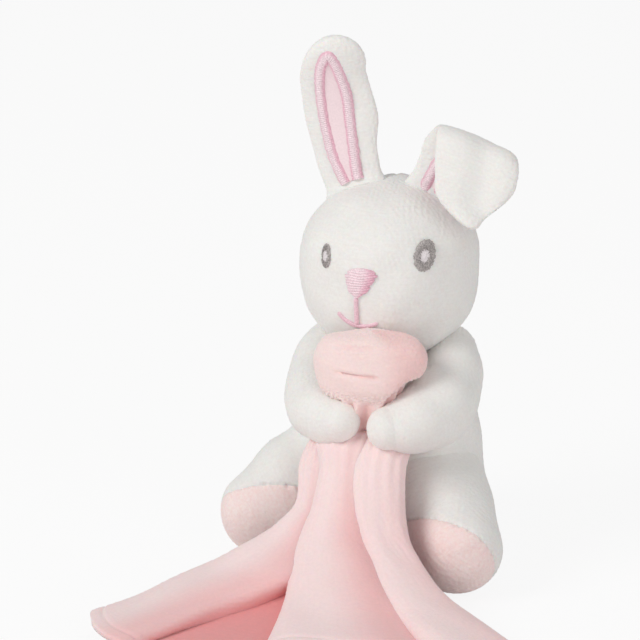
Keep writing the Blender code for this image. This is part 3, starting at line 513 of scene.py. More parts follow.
def blanket_velour(finish):
    return cloth_material("blanket velour", pile_group(), finish.velour, dimmed(finish.velour, 0.94),
                          roughness=0.9, sheen=0.3, bump=0.3, depth=0.25 * MM, scatter=0.15,
                          painted_shade=finish.velour_painted_shade, streak=ALONG_FOLDS)


def gathered_velour(finish):
    return cloth_material("gathered velour", pile_group(), finish.puff, dimmed(finish.puff, 0.93),
                          roughness=0.95, sheen=0.35, bump=0.45, depth=0.35 * MM, scatter=0.15,
                          painted_shade=finish.puff_painted_shade)


def ear_lining(finish):
    return cloth_material("ear lining", thread_group(), finish.lining, dimmed(finish.lining, 0.93),
                          roughness=0.7, sheen=0.3, bump=0.3, depth=0.15 * MM)


def satin_thread(name, tone, contrast=0.80, painted_shade=None):
    return cloth_material(name, thread_group(), tone, dimmed(tone, contrast), roughness=0.3, sheen=0.2,
                          bump=0.35, depth=0.12 * MM, painted_shade=painted_shade, tone_span=(0.40, 0.60), gloss=0.5)


def pink_thread(finish):
    return satin_thread("pink satin stitch", finish.stitch, painted_shade=finish.stitch_painted_shade)


def white_piece(name, grid, finish, body, *nodes):
    return stuffed(name, grid, white_plush(finish), body, "white_plush", *nodes)


def set_painted_shade(obj, values, layers=1):
    """Gives each point of a mesh its share of the painted shade tone, the same in each of its layers."""
    attribute = obj.data.attributes.new("painted_shade", "FLOAT", "POINT")
    attribute.data.foreach_set("value", np.tile(values.astype(np.float32).ravel(), layers))


# Head and torso

CROWN_POWER, CHIN_POWER = 2.1, 2.5
CROWN_SHARE = 0.965
HEAD_SKEW = 0.075
CHEEK_RISE = 0.8 * MM


def head_centre():
    return np.array((0.0, (HEAD_LOW[1] + HEAD_HIGH[1]) / 2, HEAD_HIGH[2] - bpy.context.scene.bunny_form.crown))


def head_half(level, form):
    """The outline's power and height: the crown's where level is above 0, and the chin's below it."""
    above = level > 0
    return np.where(above, CROWN_POWER, CHIN_POWER), np.where(above, CROWN_SHARE * form.crown, form.chin)


def head_skew(height):
    """How far the crown leans to the left at a height above the head's middle."""
    return HEAD_SKEW * np.maximum(height, 0.0)


def head_point(around, level, form):
    """The head as a super-ellipsoid: level runs from -1 at the chin to 1 at the crown, around from 0 at +X.

    Above the middle its outline keeps |r|^p + |h|^p = 1 with the crown's power, and below it with the chin's.
    """
    slope = level * math.pi / 2
    power, tall = head_half(level, form)
    height = tall * np.sign(level) * np.abs(np.sin(slope)) ** (2 / power)
    wide = np.abs(np.cos(slope)) ** (2 / power)
    x = form.head_width * wide * np.cos(around) + head_skew(height)
    y = form.head_depth * wide * np.sin(around)
    floor = HEAD_LOW[2] - head_centre()[2]
    return np.stack([x, y, np.maximum(height, floor)], axis=-1) + head_centre()


def gap_to_head(points, form):
    """Each point's distance from the head's surface, along the line to its middle."""
    part = points - head_centre()
    power, tall = head_half(part[..., 2], form)
    wide = np.hypot((part[..., 0] - head_skew(part[..., 2])) / form.head_width,
                    part[..., 1] / form.head_depth)
    size = (wide ** power + np.abs(part[..., 2] / tall) ** power) ** (1 / power)
    return np.linalg.norm(part, axis=-1) * (1 - 1 / np.maximum(size, 1e-6))


def face_frame(x, z, form):
    """Points of the face at x and height z above the head's middle, with their outward normals."""
    x, z = np.broadcast_arrays(x, z)

    def depth(px, pz):
        power, tall = head_half(pz, form)
        wide = (1 - np.minimum(np.abs(pz) / tall, 1.0) ** power) ** (1 / power)
        aside = (px - head_skew(pz)) / form.head_width
        return -form.head_depth * np.sqrt(np.maximum(wide ** 2 - aside ** 2, 0.0))

    step = 0.5 * MM
    slope_x = (depth(x + step, z) - depth(x - step, z)) / (2 * step)
    slope_z = (depth(x, z + step) - depth(x, z - step)) / (2 * step)
    normals = unit(np.stack([slope_x, -np.ones_like(x), slope_z], axis=-1))
    return np.stack([x, depth(x, z), z], axis=-1) + head_centre(), normals


def make_head(form, finish):
    """The head: a super-ellipsoid with fuller cheeks, a seam over the back and the pile's relief."""
    around = full_turn(340)
    level = np.linspace(-0.999, 0.999, 190)[:, None]
    grid = head_point(*np.broadcast_arrays(around, level), form)
    part = (grid - head_centre()) / np.array((form.head_width, form.head_depth, form.chin))
    cheeks = np.exp(-((part[..., 2] + 0.35) / 0.35) ** 2) * np.abs(part[..., 0]) ** 2 * (part[..., 1] < 0.6)
    seam = furrow(grid[..., 0], form.seam_width) * smooth_step(part[..., 1], 0.1, 0.3)
    grid = raised(grid, CHEEK_RISE * cheeks - form.seam_depth * seam)
    return white_piece("head_plush", plushed(grid, finish, 11), finish, "head", "head_cover", "head_stuffing")


TORSO_SHARES = ((0.0, 0.714), (0.03, 0.84), (0.10, 0.94), (0.24, 1.0), (0.45, 1.0), (0.61, 0.97), (0.74, 0.90),
                (0.86, 0.77), (0.95, 0.62), (1.0, 0.469))
TORSO_LEAN = 3.0 * MM


def torso_half():
    return (TORSO_HIGH[0] - TORSO_LOW[0]) / 2, (TORSO_HIGH[1] - TORSO_LOW[1]) / 2


def torso_width(level):
    """The torso's width at a level from 0 at the seat to 1 at the neck, as a share of its widest."""
    return curve_values(*zip(*TORSO_SHARES), level)


def gap_to_torso(points):
    """Each point's distance from the torso's side, square to its axis."""
    half_width, half_depth = torso_half()
    level = np.clip(points[..., 2] / TORSO_HIGH[2], 0.0, 1.0)
    y = points[..., 1] + TORSO_LEAN * level
    part = np.hypot(points[..., 0] / half_width, y / half_depth) / torso_width(level)
    return np.hypot(points[..., 0], y) * (1 - 1 / np.maximum(part, 1e-6))


def make_torso(form, finish):
    """The torso: a pear with a flat seat, raised softly where limbs meet it, and a seam down the back."""
    half_width, half_depth = torso_half()
    around = full_turn(300)
    level = np.linspace(0.0, 1.0, 150)[:, None]
    wide = torso_width(level)
    grid = np.stack(np.broadcast_arrays(half_width * wide * np.cos(around),
                                        half_depth * wide * np.sin(around) - TORSO_LEAN * level,
                                        TORSO_HIGH[2] * level), axis=-1)
    for side in ("left", "right"):
        grid = softened(grid, gap_to_balls(grid, *arm_balls(side, form)), form.fillet)
        grid = softened(grid, gap_to_balls(grid, *leg_balls(side, form)), form.fillet * 0.8)
    seam = furrow(grid[..., 0], form.seam_width) * smooth_step(grid[..., 1], 0.0, 10 * MM)
    grid = plushed(raised(grid, -form.seam_depth * seam), finish, 21)
    grid[..., 2] = np.clip(grid[..., 2], 0.0, TORSO_HIGH[2])
    return white_piece("torso_plush", grid, finish, "body", "body_cover", "body_stuffing")


# Limbs

def limb_grid(route, radii, flatness, columns):
    """A limb: oval rings square to a route, closed by a dome at each end.

    A ring stands at each point of the route; a dome's rings shrink as the cosine of an angle up to 90 degrees.
    """
    ahead = unit(np.gradient(route, axis=0))
    dome = np.linspace(math.pi / 2 * 0.98, 0.0, 18)[:-1]
    start = route[0] - ahead[0] * (radii[0] * np.sin(dome))[:, None]
    stop = route[-1] + ahead[-1] * (radii[-1] * np.sin(dome[::-1]))[:, None]
    centres = np.vstack([start, route, stop])
    ways = np.vstack([np.repeat(ahead[:1], len(dome), 0), ahead, np.repeat(ahead[-1:], len(dome), 0)])
    sizes = np.concatenate([radii[0] * np.cos(dome), radii, radii[-1] * np.cos(dome[::-1])])
    side = unit(np.cross(ways, UP))
    top = np.cross(side, ways)
    around = full_turn(columns)[..., None]
    ring = np.cos(around) * side[:, None, :] * flatness + np.sin(around) * top[:, None, :]
    return centres[:, None, :] + sizes[:, None, None] * ring


ARM_ROUTE_SHARES = {
    "left": ((0.67, 0.0, 0.975), (0.75, -0.20, 0.94), (0.79, -0.427, 0.87), (0.725, -0.652, 0.82),
             (0.58, -0.861, 0.79), (0.36, -1.0, 0.78)),
    "right": ((-0.69, 0.0, 0.945), (-0.705, -0.18, 0.90), (-0.67, -0.404, 0.83), (-0.57, -0.64, 0.779),
              (-0.39, -0.861, 0.775), (-0.16, -1.0, 0.785)),
}
ARM_RADIUS_SHARES = {
    "left": (0.74, 0.88, 1.0, 1.09, 0.94, 0.62),
    "right": (0.74, 0.82, 0.89, 0.88, 0.79, 0.60),
}


def arm_balls(side, form, count=110):
    """The arm's route from shoulder to paw, with its radius at each point."""
    scale = np.array((torso_half()[0], form.arm_reach, TORSO_HIGH[2]))
    route = curve_through(np.array(ARM_ROUTE_SHARES[side]) * scale, count)
    return route, form.arm_radius * even_values(ARM_RADIUS_SHARES[side], np.linspace(0, 1, count))


def make_arm(side, seed, form, finish):
    """An arm: a tapering limb that leaves the torso softly and runs round the gathered cloth to the paw."""
    grid = limb_grid(*arm_balls(side, form), 0.94, 150)
    out = unit(grid * (1.0, 1.0, 0.0))
    inner = 1 - smooth_step((grid_normals(grid) * out).sum(axis=-1), -0.1, 0.7)
    grid = softened(grid, gap_to_torso(grid), form.fillet, inner)
    return white_piece(f"{side}_arm_plush", plushed(grid, finish, seed), finish, "body", f"{side}_arm_cover",
                       f"{side}_arm_stuffing")


FOOT_PLACE = {"left": (36.6 * MM, -38.1 * MM), "right": (-42.6 * MM, -21.5 * MM)}
SOLE_FACING = {"left": (-0.154, -0.879, -0.452), "right": (-0.031, -0.876, -0.482)}
SOLE_AHEAD = {"left": 2.5 * MM, "right": 2.6 * MM}
SOLE_SINK, SOLE_OVERLAP = 1.5 * MM, 2.5 * MM
LEG_FLOOR = 0.25 * MM


def leg_ends(side, form):
    """The hip's and the foot's middles and the foot's radius."""
    radius = form.left_foot if side == "left" else form.right_foot
    return JOINT_PLACE[f"{side}_leg_splay"], np.array((*FOOT_PLACE[side], radius + 0.5 * MM)), radius


def leg_balls(side, form, count=24):
    hip, foot, radius = leg_ends(side, form)
    part = np.linspace(0.0, 1.0, count)
    return hip + (foot - hip) * part[:, None], form.thigh_radius + (radius - form.thigh_radius) * part


def leg_grid(side, form):
    """The hull of the hip's ball and the foot's ball: two round ends joined by the cone that touches both."""
    hip, foot, radius = leg_ends(side, form)
    reach = np.linalg.norm(foot - hip)
    along = (foot - hip) / reach
    across = unit(np.cross(along, UP))
    touch = math.asin((form.thigh_radius - radius) / reach)
    back = np.linspace(-math.pi / 2, touch, 60)
    front = np.linspace(touch, math.pi / 2, 60)
    profile = np.stack([np.concatenate([form.thigh_radius * np.sin(back), reach + radius * np.sin(front)]),
                        np.concatenate([form.thigh_radius * np.cos(back), radius * np.cos(front)])], axis=1)
    run = running_length(profile)
    even = np.linspace(0.0, run[-1], 160)[1:-1]
    distance, wide = (np.interp(even, run, profile[:, k])[:, None, None] for k in (0, 1))
    around = full_turn(200).T
    ring = np.cos(around) * across + np.sin(around) * np.cross(across, along)
    return hip + along * distance + ring[None] * wide


def make_leg(side, seed, form, finish):
    """A leg and its pink foot: one round hull, where each cloth sinks as it passes the sole's plane."""
    foot = leg_ends(side, form)[1]
    grid = leg_grid(side, form)
    ahead = (grid - foot) @ unit(np.array(SOLE_FACING[side])) - SOLE_AHEAD[side]
    fuzzy = 0.4 * wave_noise(grid, 3.0 * MM, seed + 2) + 0.3 * wave_noise(grid, 1.1 * MM, seed + 3)
    grid = softened(grid, gap_to_torso(grid), form.fillet * 0.8)
    grid = plushed(grid, finish, seed)
    normals = grid_normals(grid)
    pieces = {}
    for name, way in (("leg", 1.0), ("foot", -1.0)):
        past = smooth_step(way * ahead + fuzzy * MM, -0.9 * MM, 1.5 * MM)
        sunk = grid - normals * (SOLE_SINK * past)[..., None]
        sunk[..., 2] = np.maximum(sunk[..., 2], LEG_FLOOR)
        pieces[name] = sunk[(way * ahead).min(axis=1) < SOLE_OVERLAP]
    white_piece(f"{side}_leg_plush", pieces["leg"], finish, f"{side}_leg", f"{side}_leg_cover",
                f"{side}_leg_stuffing")
    return stuffed(f"{side}_foot_plush", pieces["foot"], pink_plush(finish), f"{side}_leg", "pink_plush",
                   f"{side}_foot_cap")


def make_tail(form, finish):
    """The tail: a small ball low on the back."""
    low, high = (np.array(corner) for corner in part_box("tail"))
    centre = np.array(((low[0] + high[0]) / 2, high[1] - form.tail_radius, (low[2] + high[2]) / 2))
    around = full_turn(120)[..., None]
    level = np.linspace(-math.pi / 2, math.pi / 2, 70)[1:-1, None, None]
    ball = np.concatenate(np.broadcast_arrays(np.cos(level) * np.cos(around), np.cos(level) * np.sin(around),
                                              np.sin(level)), axis=-1)
    grid = plushed(centre + form.tail_radius * ball, finish, 61, lumps=1.5)
    return white_piece("tail_plush", grid, finish, "body", "tail")


# Ears

EAR_LAYOUT = {
    "right": {"joint": "right_ear_swing", "seam": 1.0, "lean": (0.15, 0.15, 0.0),
              "fold": (14.0 * MM, 80.0 * MM, 20.0), "tip": (0.725, 1.7),
              "rows": ((-0.114, 0.775, -0.068), (0.0, 0.80, -0.055), (0.158, 0.875, -0.075),
                       (0.324, 0.965, -0.01), (0.515, 0.962, -0.012), (0.668, 0.94, 0.025),
                       (0.744, 0.957, 0.089), (0.859, 0.964, 0.157), (1.0, 0.964, 0.171))},
    "left": {"joint": "left_ear_lift", "seam": -1.0, "lean": (0.38, 0.29, 0.09),
             "fold": (17.5 * MM, 4.6 * MM, 152.0), "tip": (0.65, 1.28),
             "rows": ((-0.11, 0.736, 0.0), (0.018, 0.757, 0.007), (0.147, 0.90, 0.0), (0.287, 1.045, -0.06),
                      (0.424, 1.055, 0.01), (0.534, 1.05, 0.045), (0.663, 1.02, 0.03), (0.773, 1.02, -0.06),
                      (0.847, 1.036, -0.157), (0.902, 1.036, -0.175), (0.948, 1.036, -0.096),
                      (1.0, 1.036, 0.05))},
}
EAR_ROOT = 6.0 * MM
TROUGH_SIDE, TROUGH_WIDTH, TROUGH_DEPTH = 3.8 * MM, 5.5 * MM, 2.6 * MM


def ear_length(side, ears):
    return ears.left_length if side == "left" else ears.right_length


def ear_sides(side, along, ears):
    """The ear's middle line and half-width at a distance from its seam: uneven sides, then a round tip."""
    layout = EAR_LAYOUT[side]
    part = along / ear_length(side, ears)
    stations, halves, middles = zip(*layout["rows"])
    first, power = layout["tip"]
    tip = np.clip((part - first) / (1 - first), 0.0, 1.0)
    half = ears.half_width * curve_values(stations, halves, part) * np.sqrt(1 - tip ** power)
    return ears.half_width * curve_values(stations, middles, part), half


def ear_front(side, along, across, ears):
    """How far the ear's face stands out of its middle sheet: full at the middle, round at the edge."""
    middle, half = ear_sides(side, along, ears)
    part = np.clip(np.abs(across - middle) / np.maximum(half, 1e-9), 0.0, 1.0)
    thin = np.minimum(1.0, np.sqrt(half / ears.half_width) * 1.1)
    return ears.thickness / 2 * thin * (1 - part ** 2.6) ** 0.5


def ear_place(side, along, across, front):
    """Flat ear sizes as places: straight from the seam, round the fold's turn, then straight again."""
    layout = EAR_LAYOUT[side]
    fold_at, fold_radius, fold_turn = layout["fold"]
    root_lean, flap_lean, spread = layout["lean"]
    across_axis = JOINT_AXIS[layout["joint"]] * layout["seam"]
    rise_axis = np.array((-across_axis[2], 0.0, across_axis[0]))
    over = along - fold_at
    turn = np.clip(over / fold_radius, 0.0, math.radians(fold_turn))
    straight = over - fold_radius * turn
    rise = fold_at + fold_radius * np.sin(turn) + straight * np.cos(turn) - front * np.sin(turn)
    forward = fold_radius * (1 - np.cos(turn)) + straight * np.sin(turn) + front * np.cos(turn)
    root = np.clip(along, 0.0, fold_at + fold_radius * math.radians(fold_turn))
    aside = across * (1 + spread * turn / math.radians(fold_turn))
    aside = aside + root_lean * root + flap_lean * (np.maximum(along, 0.0) - root)
    return (JOINT_PLACE[layout["joint"]] + rise[..., None] * rise_axis + aside[..., None] * across_axis
            + forward[..., None] * np.array((0.0, -1.0, 0.0)))


def make_ear(side, seed, form, ears, finish):
    """An ear: two plush faces over a curved middle sheet, flaring softly into the head at its root."""
    whole = ear_length(side, ears)
    rows = np.concatenate([np.linspace(-EAR_ROOT, whole * 0.88, 140),
                           whole * (1 - 0.12 * np.linspace(1.0, 0.02, 34)[1:] ** 2)])[:, None]
    around = full_turn(140)
    middle, half = ear_sides(side, rows, ears)
    rows, across = np.broadcast_arrays(rows, middle + half * np.cos(around))
    front = ear_front(side, rows, across, ears) * np.sign(np.sin(around))
    if side == "left":
        part = rows / whole
        held = smooth_step(part, 0.38, 0.55) * (1 - smooth_step(part, 0.84, 0.98)) * (np.sin(around) < 0)
        front = front + TROUGH_DEPTH * held * furrow(across - TROUGH_SIDE, TROUGH_WIDTH)
    grid = ear_place(side, rows, across, front)
    grid = softened(grid, gap_to_head(grid, form), form.fillet * 0.5)
    return white_piece(f"{side}_ear_plush", plushed(grid, finish, seed, lumps=0.8), finish, f"{side}_ear",
                       f"{side}_ear")


BORDER_SHARES = ((-0.034, -0.200), (0.011, -0.235), (0.164, -0.375), (0.305, -0.417), (0.457, -0.417),
                 (0.651, -0.325), (0.800, -0.160), (0.862, 0.0), (0.884, 0.130), (0.855, 0.225), (0.771, 0.285),
                 (0.575, 0.330), (0.383, 0.262), (0.105, 0.180), (-0.027, 0.155))
EAR_PITCH = 0.75 * MM
LINING_RISE = 0.45 * MM


def ear_layers(side, place, ears, *rises):
    """Sheets at heights above the ear's face, from a grid of flat ear places."""
    along, across = place[..., 0], place[..., 1]
    front = ear_front(side, along, across, ears)
    return [ear_place(side, along, across, front + rise) for rise in rises]


def make_lining(side, ears, finish):
    """The lining: a thin panel on the ear's front, and its raised border of satin stitch in a pointed arch."""
    line = np.array(BORDER_SHARES) * (ear_length(side, ears), ears.half_width)
    route = curve_through(line, 1600)
    left, right = route[:800:6], route[:799:-6]
    steps = np.linspace(0.0, 1.0, 25)[None, :, None]
    place = left[:, None, :] + (right - left)[:, None, :] * steps
    layers = ear_layers(side, place, ears, LINING_RISE, -LINING_RISE)
    panel = layered_piece(f"{side}_ear_panel", *layers, ear_lining(finish))
    finished(panel, f"{side}_ear", "ear_satin", f"{side}_ear_lining")

    run = running_length(route)[:, None]
    out = np.linspace(-1.0, 1.0, 13)[None, :]
    ragged = 1 + 0.05 * wave_noise(np.concatenate([run, 0 * run, 0 * run], axis=1), 1.5 * MM, 52)[:, None]
    place = band(route, out * ragged * ears.border_width / 2)
    ridge = (1 - out ** 2) ** 0.7 * (0.80 + 0.20 * np.abs(np.cos(math.pi * run / EAR_PITCH)))
    layers = ear_layers(side, place, ears, LINING_RISE * 0.4 + ears.border_rise * ridge, -LINING_RISE)
    border = layered_piece(f"{side}_ear_border", *layers, pink_thread(finish))
    # painted shade: the border's edges, where the stitches turn down from the light, are drawn towards the
    # thread's shade tone
    set_painted_shade(border, 0.06 + 0.62 * smooth_step(np.abs(out + 0.1), 0.30, 0.85) + 0 * run, layers=2)
    return finished(border, f"{side}_ear", "pink_thread")


# Face

EYES = {
    "left": {"turn": 40.2, "rise": 7.6 * MM, "size": (8.5 * MM, 10.9 * MM), "band": (2.7 * MM, 3.4 * MM)},
    "right": {"turn": -28.6, "rise": 5.2 * MM, "size": (4.1 * MM, 8.2 * MM), "band": (1.1 * MM, 2.2 * MM)},
}
EYE_THREADS, EYE_OVERLAP = 46, 0.7 * MM
RAGGED_INSIDE, RAGGED_OUTSIDE = 0.42 * MM, 0.16 * MM
MIDDLE_LIFT, STRAND_RISE = 0.2 * MM, 0.12 * MM
FACE_LEAN = 0.17
NOSE_WIDTH, NOSE_HEIGHT, NOSE_DROP, NOSE_NARROWING = 14.4 * MM, 11.4 * MM, 2.4 * MM, 0.28
NOSE_SHIFT = -1.1 * MM
NOSE_PITCH = 0.95 * MM
LINE_PITCH, LINE_PAINTED_SHADE = 0.6 * MM, 0.42
LINE_WIDTH, LINE_LENGTH, MOUTH_WIDTH, MOUTH_SAG = 1.6 * MM, 10.6 * MM, 15.0 * MM, 4.2 * MM
MOUTH_SHARES = ((-0.48, 1.0), (-0.30, 0.40), (-0.13, 0.08), (0.0, 0.0), (0.17, 0.0), (0.34, 0.14),
                (0.53, 0.45))
STITCH_RISE, STITCH_LIFT, STITCH_ROOT = 0.75 * MM, 0.25 * MM, 0.5 * MM


def satin_on_face(name, x, z, rise, form, material, node, wrap=False):
    """A raised patch of stitches on the face, from grids of x, z and rise above the plush.

    Wrapped, its columns close into a ring, and its rows run over the top and back below it.
    """
    points, normals = face_frame(x, z, form)
    top = points + normals * (rise + STITCH_LIFT)[..., None]
    bottom = points - normals * STITCH_ROOT
    if wrap:
        grid = np.concatenate([top, bottom[::-1]], axis=0)
        index = np.arange(grid[..., 0].size).reshape(grid.shape[:2])
        index = np.pad(index, ((0, 1), (0, 1)), mode="wrap")
        piece = mesh_object(name, grid.reshape(-1, 3), [quads_of(index)], material)
    else:
        piece = layered_piece(name, top, bottom, material)
    slot = next(part["material_slot"] for part in frame["record"]["subparts"] if part["node"] == node)
    return finished(piece, "head", slot, node)


def make_eye(side, form, finish):
    """An eye: a ring of radial satin stitches round a middle of shorter ones, both oval."""
    eye = EYES[side]
    level = 1 - (eye["rise"] / form.crown) ** CROWN_POWER
    middle = form.head_width * level ** (1 / CROWN_POWER) * math.sin(math.radians(eye["turn"]))
    squeeze = math.cos(math.radians(eye["turn"]))
    around = full_turn(EYE_THREADS * 8)
    circle = np.stack([np.cos(around) * 5, np.sin(around) * 5, 0 * around], axis=-1)
    ragged = RAGGED_INSIDE * wave_noise(circle, 1.1, 5)
    outer = RAGGED_OUTSIDE * wave_noise(circle, 0.9, 6)
    out = np.linspace(0.0, 1.0, 15)[:, None]
    wide, tall = (size / 2 - band * (1 - out) + ragged * (1 - out) + outer * out
                  for size, band in zip(eye["size"], eye["band"]))
    threads = np.abs(np.cos(EYE_THREADS / 2 * around + 0.8 * np.sin(5 * around)))
    rise = STITCH_RISE * np.maximum(1 - (2 * out - 1) ** 2, 0.0) ** 0.4 * (0.66 + 0.34 * threads)
    x, z = middle + squeeze * wide * np.cos(around), eye["rise"] + tall * np.sin(around)
    satin_on_face(f"{side}_eye_stitches", x, z, rise, form,
                  satin_thread("grey satin stitch", finish.grey, 0.5), f"{side}_eye_ring", wrap=True)
    out = np.linspace(0.06, 1.0, 12)[:, None]
    wide, tall = (size / 2 - band + EYE_OVERLAP for size, band in zip(eye["size"], eye["band"]))
    x, z = middle + squeeze * wide * out * np.cos(around), eye["rise"] + tall * out * np.sin(around)
    points, normals = face_frame(x, z, form)
    strands = wave_noise(np.stack([x, z * 0.25, 0 * x], axis=-1), 0.8 * MM, 7)
    rise = STITCH_RISE * 0.75 * np.sqrt(1 - out ** 2 * 0.9) + STRAND_RISE * strands * (1 - out ** 4)
    top = points + normals * (rise + MIDDLE_LIFT)[..., None]
    grid = np.concatenate([top, (points - normals * STITCH_ROOT)[-1:]], axis=0)
    thread = satin_thread("white satin stitch", finish.eye_white, 0.85)
    piece = round_piece(f"{side}_eye_middle", grid, thread)
    return finished(piece, "head", "white_thread", f"{side}_eye_white")


def make_nose(form, finish):
    """The nose: rows of satin stitch across a rounded triangle, broad at the top and full in the middle."""
    rows = int(NOSE_HEIGHT / NOSE_PITCH)
    level = np.linspace(-1.0, 1.0, rows * 10 + 1)[:, None]
    out = np.linspace(-1.0, 1.0, 41)[None, :]
    chance = np.random.default_rng(3)
    ragged = np.repeat(chance.uniform(-0.55, 0.55, rows + 1), 10)[: len(level)][:, None] * MM
    power = np.where(level > 0, 2.7, 2.0)
    half = NOSE_WIDTH / 2 * np.sqrt(np.maximum(1 - np.abs(level) ** power, 0.0))
    half = np.maximum(half * (1 - NOSE_NARROWING * (1 - level)) + ragged, 0.3 * MM)
    z = NOSE_HEIGHT / 2 * level - NOSE_DROP + (0.5 * MM * out + 0.5 * MM * out ** 2) * (1 - level ** 2)
    ridge = np.abs(np.sin(math.pi * (level + 1) / 2 * rows + 0.35 * np.sin(4 * out + 3 * level))) ** 0.7
    dome = np.maximum(1 - out ** 2, 0.0) ** 0.35 * np.maximum(1.02 - level ** 2, 0.0) ** 0.3
    rise = 1.6 * STITCH_RISE * dome * (0.72 + 0.28 * ridge)
    piece = satin_on_face("nose_stitches", NOSE_SHIFT + FACE_LEAN * z + half * out, z, rise, form,
                          pink_thread(finish), "nose")
    # painted shade: the nose's right side, turned from the light, and the grooves between its rows of stitches
    # are drawn towards the thread's shade tone
    set_painted_shade(piece, 0.10 + 0.55 * smooth_step(out - 0.15 * level, 0.0, 0.85) + 0.25 * (1 - ridge), layers=2)
    return piece


def stitched_line(name, line, width, form, finish, node):
    """A line of satin stitch along (x, z) points of the face: short threads laid side by side across it."""
    route = curve_through(line, 420)
    run = running_length(route)
    out = np.linspace(-1.0, 1.0, 11)[None, :]
    ends = np.sqrt(np.clip(np.minimum(run, run[-1] - run) / (width / 2), 0.02, 1.0))[:, None]
    threads = np.abs(np.cos(math.pi * run / LINE_PITCH))[:, None]
    place = band(route, out * width / 2 * ends)
    rise = STITCH_RISE * ends * np.sqrt(1 - out ** 2) * (0.76 + 0.24 * threads)
    piece = satin_on_face(name, place[..., 0], place[..., 1], rise, form, pink_thread(finish), node)
    # painted shade: the whole line is drawn evenly part way towards the thread's shade tone
    set_painted_shade(piece, np.full(rise.size, LINE_PAINTED_SHADE), layers=2)
    return piece


def make_mouth(form, finish):
    """The line below the nose and the smile that it ends in."""
    top = -NOSE_DROP - NOSE_HEIGHT / 2 + 0.3 * MM
    foot = top - LINE_LENGTH
    line = [(FACE_LEAN * (foot + 0.15 * (z - foot)), z) for z in np.linspace(top, foot, 4)]
    stitched_line("nose_line_stitches", line, LINE_WIDTH, form, finish, "nose_line")
    smile = [(FACE_LEAN * foot + MOUTH_WIDTH * across, foot + MOUTH_SAG * up - LINE_WIDTH / 3)
             for across, up in MOUTH_SHARES]
    return stitched_line("mouth_stitches", smile, LINE_WIDTH * 0.85, form, finish, "mouth")


# Blanket

GRIP = np.array((1.0, -31.5, 55.5)) * MM
APEX_BACK = 10.5 * MM
FALL_SHARES = ((0.11, 0.998), (0.157, 0.945), (0.204, 0.875), (0.255, 0.785), (0.315, 0.63), (0.361, 0.505),
               (0.435, 0.345), (0.546, 0.19), (0.657, 0.10), (0.796, 0.062), (1.0, 0.054))
CORNER_SHARE = 0.62
FOLD_STATIONS = (0.11, 0.185, 0.25, 0.324, 0.389, 0.463, 0.537, 0.648, 0.787, 1.02, 1.39)
# away_shade: how strongly each fold's side turned from the light is painted in shade
FOLDS = (
    {"left": (-61.1, -53.9, -42.0, -29.8, -31.7, -35.2, -38.7, -41.6, -41.3, -38.6, -38.2),
     "right": (-44.8, -38.7, -22.7, -17.1, -15.9, -14.0, -12.6, -18.5, -23.0, -25.0, -27.0), "height": 0.85,
     "over": -0.04, "away_shade": 0.8},
    {"left": (-43.3, -37.2, -21.2, -15.6, -14.4, -12.5, -10.0, -6.5, -4.1, -2.2, -1.3),
     "right": (11.3, 7.0, 5.1, 7.4, 11.1, 16.8, 19.9, 22.6, 24.9, 26.4, 27.4), "height": 0.72, "over": -0.10,
     "away_shade": 1.0},
    {"left": (12.8, 8.5, 6.6, 8.9, 12.4, 18.0, 21.1, 24.1, 26.9, 29.4, 31.4),
     "right": (46.0, 43.3, 35.0, 31.7, 31.4, 34.4, 37.0, 39.6, 41.9, 42.9, 42.9), "height": 1.0, "over": -0.16,
     "away_shade": 0.35},
)
FOLD_COLUMNS, VALLEY_COLUMNS = 90, 10
ARCH_OVERHANG, ARCH_STEEPNESS = 0.9, 0.55
GATHER_RISE, GATHER_LENGTH = 0.6 * MM, 16.0 * MM
RUMPLE_RISE, RUMPLE_SIZE = 0.35 * MM, 11.0 * MM
FADE_SHARES = (0.75, 1.0, 1.0, 1.0, 0.9, 0.7, 0.5)
BUNCH_THICKNESS, BUNCH_SHARE = 8.0 * MM, 0.22
HEM_IN, HEM_WIDTH = 5.0 * MM, 0.8 * MM
CLOTH_FLOOR, CLOTH_RISE = 0.3 * MM, 3.0 * MM


def blanket_length(across, blanket):
    """The cloth's length from grip to hem at a share across the fan: short ahead, long at the corners."""
    side = np.abs(2 * across - 1)
    to_corner = np.sin(math.pi / 2 * np.clip(side / CORNER_SHARE, 0, 1)) ** 2
    past = np.sin(math.pi / 2 * np.clip((side - CORNER_SHARE) / (1 - CORNER_SHARE), 0, 1)) ** 2
    length_ahead = blanket.front_length + (blanket.corner_length - blanket.front_length) * to_corner
    return length_ahead + (blanket.side_length - blanket.corner_length) * past


